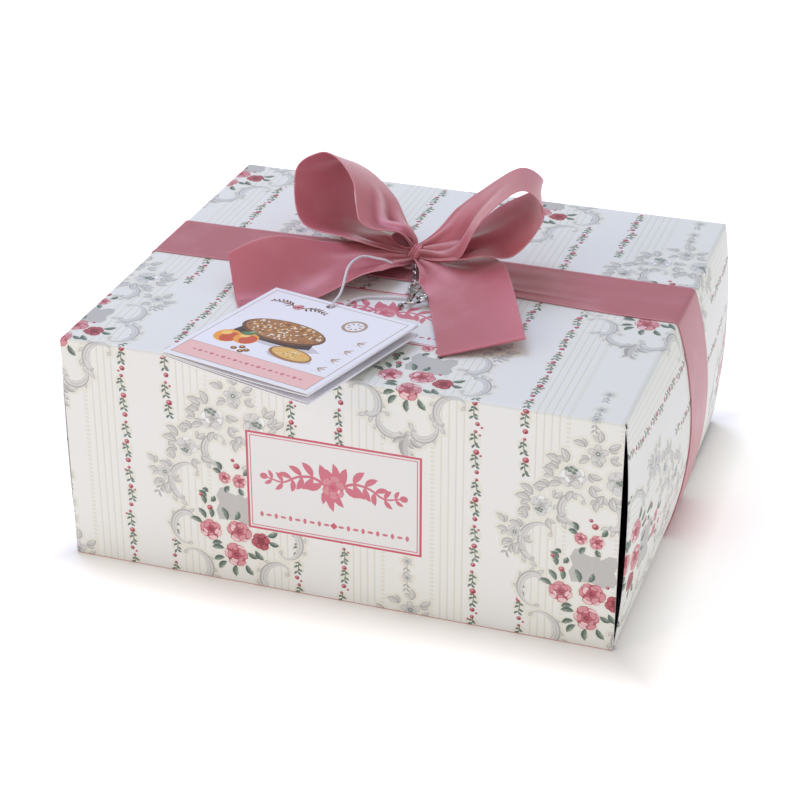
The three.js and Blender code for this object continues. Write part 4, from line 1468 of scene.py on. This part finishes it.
def knot_wrap():
    """The turn of ribbon round the middle of the bow, drawn into close pleats and leaning over."""
    a = np.linspace(0, 2 * math.pi, 60, endpoint=False)[:, None]
    v = np.linspace(-1, 1, 41)[None, :]
    pleat = 0.05 * np.sin(math.pi * (1.9 * v + 0.3 * np.sin(a) + 0.3))
    pleat = pleat + 0.02 * np.sin(math.pi * (5 * v + 0.5 * np.cos(a)))
    hug = 1 - 0.3 * v ** 4
    y = 5.2 * np.cos(a) * hug * (1 + pleat)
    z = 5.0 * np.sin(a) * hug * (1 + pleat)
    point = leaning(WRAP_HALF * v + 0 * a, z, -KNOT_LEAN) + y[..., None] * BACK
    satin_wrap("satin_knot", point + KNOT + 0.8 * RIGHT - 0.6 * UP, 8 * pleat, WRAP_HALF * v, 5 * a)


def knot_cornet():
    """The left loop's last pleat, which opens towards the front just before the knot."""
    a = np.linspace(0, 2 * math.pi, 60, endpoint=False)[:, None]
    s = np.linspace(0, 1, 30)[None, :]
    wide = 5.0 * (1 - s) ** 0.7 + 1.0
    pleat = 0.16 * s ** 0.5 * np.sin(7 * a + 2) + 0.04 * np.sin(3 * a)
    x = wide * np.cos(a) * (1 + pleat)
    z = np.where(np.sin(a) > 0, 0.72, 0.4) * wide * np.sin(a) * (1 + pleat)
    middle = KNOT - RIGHT * (6.6 - 6.4 * s)[..., None] + UP * (5.0 - 4.8 * s)[..., None]
    middle = middle + BACK * (4.4 - 5.4 * s)[..., None]
    point = middle + leaning(x, z, -24) + (-1.2 * np.sin(a) * (1 - s))[..., None] * BACK
    # 0.9: painted shade inside the pleat's opening
    satin_wrap("satin_cornet", point, -4 * pleat, 12 * s, 4 * a, 0.9)


knot_cornet()
knot_wrap()


# Leaflet: four leaves of one card, folded to and fro

TAG_BASIS = turn_matrix(TAG_TURN[2], -TAG_TURN[1], TAG_TURN[0])
LEAVES = [
    lambda f: 0 * f,
    lambda f: -0.75 - 0.3 * f - 1.2 * np.sin(math.pi * f),
    lambda f: -1.5 - 3 * f - 0.2 * np.sin(math.pi * f),
    lambda f: -2.25 - 3.25 * f - 0.5 * np.sin(math.pi * f),
]


def on_leaf(height):
    """Print plane of a leaf: x from its left edge, y from its far edge towards the front."""
    def place(px, py):
        z = height(px / TAG_W) + TAG_CARD / 2
        return np.stack([px - TAG_W / 2, TAG_W / 2 - py, z], axis=-1) @ TAG_BASIS.T + TAG_AT
    return with_outward(place)


def in_disc():
    """A place in a disc of radius 1, at random."""
    a, r = random.uniform(0, 2 * math.pi), math.sqrt(random.random())
    return r * math.cos(a), r * math.sin(a)


def loaf_picture(x, y):
    """A sugared round loaf in its dark case, a cut slice, two peaches and some nuts."""
    case = curve_through([(x - 17, y + 5), (x - 9, y + 6.9), (x + 9, y + 6.9), (x + 17, y + 5)], 14)
    shapes = [("shadow", oval(x + 2, y + 8, 21, 4.4)), ("case", stroke(case, 5.6)),
              ("crust_dark", oval(x, y, 18.6, 8.6, 0, 28)), ("crust", oval(x, y - 0.7, 17.4, 7.6, 0, 28))]
    for _ in range(150):
        across, down = in_disc()
        ink = random.choice(("sugar", "sugar", "crust_dark", "nut", "crumb"))
        size = (random.uniform(0.4, 0.95), random.uniform(0.3, 0.6))
        spot = oval(x + 16.4 * across, y - 0.8 + 6.8 * down, *size, random.uniform(0, 180), 5)
        shapes.append((ink, spot))
    sx, sy = x + 14, y + 14
    shapes += [("shadow", oval(sx + 1, sy + 2.4, 10.5, 2.8)), ("crust", oval(sx, sy, 10, 4.8, 6, 18)),
               ("crumb", oval(sx, sy - 0.4, 8.8, 3.8, 6, 18))]
    for _ in range(26):
        across, down = in_disc()
        ink = random.choice(("peach", "sugar", "crust"))
        shapes.append((ink, oval(sx + 7.6 * across, sy - 0.4 + 3 * down, 0.5, 0.35, 0, 5)))
    fx, fy = x - 16, y + 13
    for px, py, r in ((fx, fy, 5.6), (fx + 7.6, fy - 1.4, 5)):
        shapes += [("peach", oval(px, py, r, r * 0.92, 0, 18)),
                   ("peach_red", oval(px + 0.24 * r, py + 0.1 * r, r * 0.66, r * 0.74, 20, 14)),
                   ("peach_light", oval(px - 0.35 * r, py - 0.35 * r, r * 0.4, r * 0.3, -30, 10))]
    shapes += leaf(fx + 2, fy - 4.6, -25, 7.4, 3, ("green", "leaf_dark", "leaf_light"))
    for dx, dy in ((11, 5), (14, 6.4), (12.4, 8), (8.6, 7)):
        shapes.append(("nut", oval(fx + dx, fy + dy, 1.5, 1.25, 20)))
        shapes.append(("crumb", oval(fx + dx - 0.3, fy + dy - 0.3, 0.6, 0.4, 20, 6)))
    return shapes


PICTURE_AT = (35, 38)
PICTURE_DOWN = 0.5
PICTURE_SCALE = 1.25
COVER_LINE = 2.5              # from the leaflet's edge to the thin line round its cover
COVER_INSIDE = 2.95           # and to the line's inner side
STRIPE_H = 16.4               # from the leaflet's front edge to the top of the pink stripe


def cover_print():
    edge = TAG_W
    far = edge - COVER_LINE
    shapes = boxes(COVER_LINE, COVER_LINE, far, far, ("gold", 0), ("leaflet", 0.45))
    low, high = COVER_INSIDE, edge - COVER_INSIDE
    shapes.append(("blush", rectangle(low, edge - STRIPE_H, high, high)))
    shapes.append(("gold", rectangle(low, edge - STRIPE_H - 0.2, high, edge - STRIPE_H + 0.1)))
    for k in range(-9, 10):
        dot = oval(edge / 2 + 3.4 * k, edge - 9.6, 1.1, 0.6 if k % 2 else 1.1, 0, 8)
        shapes.append(("frame_light", dot))
    for side in (-1, 1):
        stem = [(24 + side * (2 + 13 * t), 13.4 - 2.4 * math.sin(2.8 * t)) for t in np.linspace(0, 1, 7)]
        shapes.append(("crust_dark", stroke(stem, (0.9, 0.8, 0.7, 0.6, 0.5, 0.4, 0.3))))
        for k, at in enumerate(stem[1:]):
            for way in (-48, 48):
                turned = way if side > 0 else 180 - way
                shapes.append(("crust_dark", blade(*at, turned, 3.4 - 0.3 * k, 1.1)))
    shapes += rose(24, 13, 3.2, 0.6)
    for ring_r, ink in ((6.2, "gold"), (4.6, "leaflet")):
        shapes.append((ink, oval(60, 17, ring_r, ring_r, 0, 26)))
    for way in range(0, 360, 45):
        shapes.append(("gold", oval(*((60, 17) + heading(way) * 3), 1.1, 0.5, way, 7)))
    for y in (30, 40, 50, 60):
        shapes.append(("faint", stroke([(70, y + 3.4), (78, y + 3.4)], 0.25)))
        shapes += [("gold", blade(71.5, y, way, 4.6, 0.9)) for way in (-35, 0, 35)]
    corner = (PICTURE_AT[0], PICTURE_AT[1] + PICTURE_DOWN)
    for ink, outline in loaf_picture(*PICTURE_AT):
        shapes.append((ink, (outline - PICTURE_AT) * PICTURE_SCALE + corner))
    return shapes


def leaf_fold(k):
    """The fold from a leaf to the next one below, on the right and the left in turn."""
    right = k % 2 == 0
    upper, lower = (LEAVES[i](np.array(1.0 if right else 0.0)) for i in (k, k + 1))
    middle, r = (upper + lower) / 2, (upper - lower) / 2
    side = 1 if right else -1
    arc = np.radians(np.linspace(90, -90, 9))
    section = [(side * (TAG_W / 2 + away * math.cos(a)), middle + away * math.sin(a))
               for away, way in ((r + TAG_CARD / 2, arc), (r - TAG_CARD / 2, arc[::-1])) for a in way]
    points = np.array([[(x, y, z) for x, z in section] for y in np.linspace(-TAG_W / 2, TAG_W / 2, 18)])
    faces = ring_faces(*points.shape[:2])
    if not right:
        faces = [face[::-1] for face in faces]
    return points.reshape(-1, 3) @ TAG_BASIS.T + TAG_AT, faces


def leaflet():
    edge = TAG_W
    outline = edge_line([(0, 0), (edge, 0), (edge, edge), (0, edge)], 5)
    hole_r = TAG_HOLE[2] / 2
    hole = oval(edge / 2 + TAG_HOLE[0], edge / 2 - TAG_HOLE[1], hole_r, hole_r, 0, 24)
    framed = boxes(5, 5, edge - 5, edge - 5, ("frame_light", 0), ("leaflet", 0.5))
    names = ("leaflet_cover", "leaflet_leaf_2", "leaflet_leaf_3", "leaflet_leaf_4")
    for name, height, shapes in zip(names, LEAVES, (cover_print(), [], framed, [])):
        sheet_piece(name, outline, shapes, on_leaf(height), TAG_PAPER, "tag_paper", "tag", "leaflet",
                    ground="leaflet", thick=TAG_CARD, step=7, holes=[hole])
    points, faces = joined([leaf_fold(k) for k in range(3)])
    folds = dressed("leaflet_folds", points, faces, TAG_PAPER, "tag_paper", "tag")
    painted(folds, [linear(INKS["leaflet"])] * len(folds.data.loops))


leaflet()


# Chain and charm

def ring_path(at, long, wide, along, roll, count=44):
    """An oval ring of points, long in one direction and turned about it by roll degrees."""
    a = np.linspace(0, 2 * math.pi, count, endpoint=False)
    x = unit(along)
    y = unit(np.cross([0, 0, 1], x))
    c, s = math.cos(math.radians(roll)), math.sin(math.radians(roll))
    y = y * c + np.cross(x, y) * s
    return at + np.outer(long / 2 * np.cos(a), x) + np.outer(wide / 2 * np.sin(a), y)


def chain():
    top = np.array(CHAIN_TOP)
    along = np.array(CHAIN_END) - top
    pitch = (np.linalg.norm(along) - LINK_OVERLAP) / LINK_COUNT
    for k in range(LINK_COUNT):
        at = top + unit(along) * (LINK_OVERLAP / 2 + pitch * (k + 0.5))
        path = ring_path(at, pitch + LINK_OVERLAP, LINK_WIDE - LINK_WIRE, along, 0 if k % 2 else 90)
        dressed(f"silver_link_{k + 1}", *tube(path, LINK_WIRE / 2, 12, closed=True), SILVER, "silver_metal",
                f"charm_link_{k + 1}")


PINK_AT = (-5.1, 6.2, 120.6)
PINK_ALONG = (0.81, -0.58, -0.05)
PINK_SIZE = (8.5, 3.5)


def pink_loop():
    path = ring_path(np.array(PINK_AT), *PINK_SIZE, PINK_ALONG, 0, 120)
    plies = [tube(path, 0.32, 8, closed=True, twist=8, offset=0.24 * side) for side in (1, -1)]
    dressed("pink_loop", *joined(plies), PINK_YARN, "pink_cord", "charm_loop")


def ball(at, r, flat=1, sides=16, rings=10):
    """A round bead, flattened in height. Its first and last rings are points and need no faces."""
    points = []
    for polar in [math.pi * i / rings for i in range(rings + 1)]:
        for a in [2 * math.pi * j / sides for j in range(sides)]:
            points.append((math.sin(polar) * math.cos(a), math.sin(polar) * math.sin(a), math.cos(polar)))
    return np.array(points) * r * (1, 1, flat) + at, turned_over(ring_faces(rings + 1, sides)[:-2])


DROP_LINE = [(0.6, 12.4), (-1.4, 12.2), (-2.7, 10.4), (-2.3, 5), (-1.5, 0), (-1.1, -4.5), (-0.6, -8.3),
             (0.4, -4.5), (0.9, 0), (2.1, 5), (2.8, 9.2), (2.2, 11.6), (0.75, 12.45)]
CURL_LINE = [(-3.4, -11.2), (-4.8, -10.2), (-4.3, -8.4), (-1.6, -8.2), (1.5, -9), (4.6, -8.8), (7.4, -7)]
CHARM_BEADS = [(-2.75, 7.4), (2.6, 7.0), (-2.0, 2.6), (1.55, 2.6)]
CHARM_ROSE = np.array([6, -4.9, 0.2])


def charm():
    """Openwork of bent wire: a drop that stands on a curl, with a small rose at its right."""
    parts = [tube(curve_through([(x, y, 0) for x, y in line], count, True), CHARM_WIRE / 2, 12)
             for line, count in ((DROP_LINE, 110), (CURL_LINE, 60))]
    parts += [ball((*CURL_LINE[0], 0), 1.1), ball((*CURL_LINE[-1], 0), 0.85), ball(CHARM_ROSE, 2.3, 0.45)]
    for a in [math.radians(60 * k) for k in range(6)]:
        parts.append(ball(CHARM_ROSE + (2 * math.cos(a), 2 * math.sin(a), 0.1), 1.05, 0.9, 12, 8))
    spiral = [CHARM_ROSE + (0.3 * s * math.cos(1.9 * s), 0.3 * s * math.sin(1.9 * s), 1.25 - 0.06 * s)
              for s in np.linspace(0.4, 5.2, 40)]
    parts.append(tube(spiral, 0.28, 8))
    parts += [ball((x, y, 0.35), 0.8, 0.8, 12, 8) for x, y in CHARM_BEADS]
    points, faces = joined(parts)
    points = points @ turn_matrix(*CHARM_TURN).T + CHARM_AT
    dressed("silver_charm", points, faces, SILVER, "silver_metal", "charm")


chain()
pink_loop()
charm()


# Stage

GLOW = 0.4
GLOW_REACH = 25               # from the carton's walls to the full glow
FLOOR_REACH = 6.0             # metres
WORLD_TINT = (0.935, 0.984, 1, 1)
WORLD_STRENGTH = 0.65


def stage_floor():
    """White paper that glows as painted light, except under and beside the carton."""
    mesh = bpy.data.meshes.new("floor")
    corners = [(x * FLOOR_REACH, y * FLOOR_REACH, 0) for x, y in ((-1, -1), (1, -1), (1, 1), (-1, 1))]
    mesh.from_pydata(corners, [], [(0, 1, 2, 3)])
    floor = bpy.data.objects.new("floor", mesh)
    bpy.context.scene.collection.objects.link(floor)
    paper = Finish("floor_paper", Roughness=0.9, Specular_IOR_Level=0.0, Base_Color=linear((252, 246, 243)),
                   Emission_Strength=GLOW)
    x, y, _ = paper.parts(paper.place())
    off_x = x.maths("ABSOLUTE", x) - HALF_W
    off_y = y.maths("ABSOLUTE", y - MM * MIDDLE[1]) - HALF_D
    away = off_x.maths("MAXIMUM", off_x, off_y) / GLOW_REACH
    # Painted light: the glow grows from none at the carton's walls to full at GLOW_REACH
    paper.feed("Emission Color", paper.mixed((0, 0, 0), (255, 255, 255), away.clipped()))
    mesh.materials.append(paper.material)


def soft_light(name, place, target, size, power, tint):
    data = bpy.data.lights.new(name, "AREA")
    data.shape = "DISK"
    data.size = size
    data.energy = power
    data.color = linear(tint)[:3]
    lamp = bpy.data.objects.new(name, data)
    lamp.location = place
    lamp.rotation_euler = (Vector(target) - Vector(place)).to_track_quat("-Z", "Y").to_euler()
    bpy.context.scene.collection.objects.link(lamp)


stage_floor()
soft_light("overhead", (-0.55, 0.5, 1.6), (0, 0, 0.1), 0.9, 11.8, (200, 213, 255))
soft_light("front_left", (-1.15, -1.25, 0.95), (-0.05, 0, 0.05), 1.0, 4.5, (255, 228, 203))
world = bpy.data.worlds.new("studio")
world.use_nodes = True
background = world.node_tree.nodes["Background"]
background.inputs["Color"].default_value = WORLD_TINT
background.inputs["Strength"].default_value = WORLD_STRENGTH
bpy.context.scene.world = world
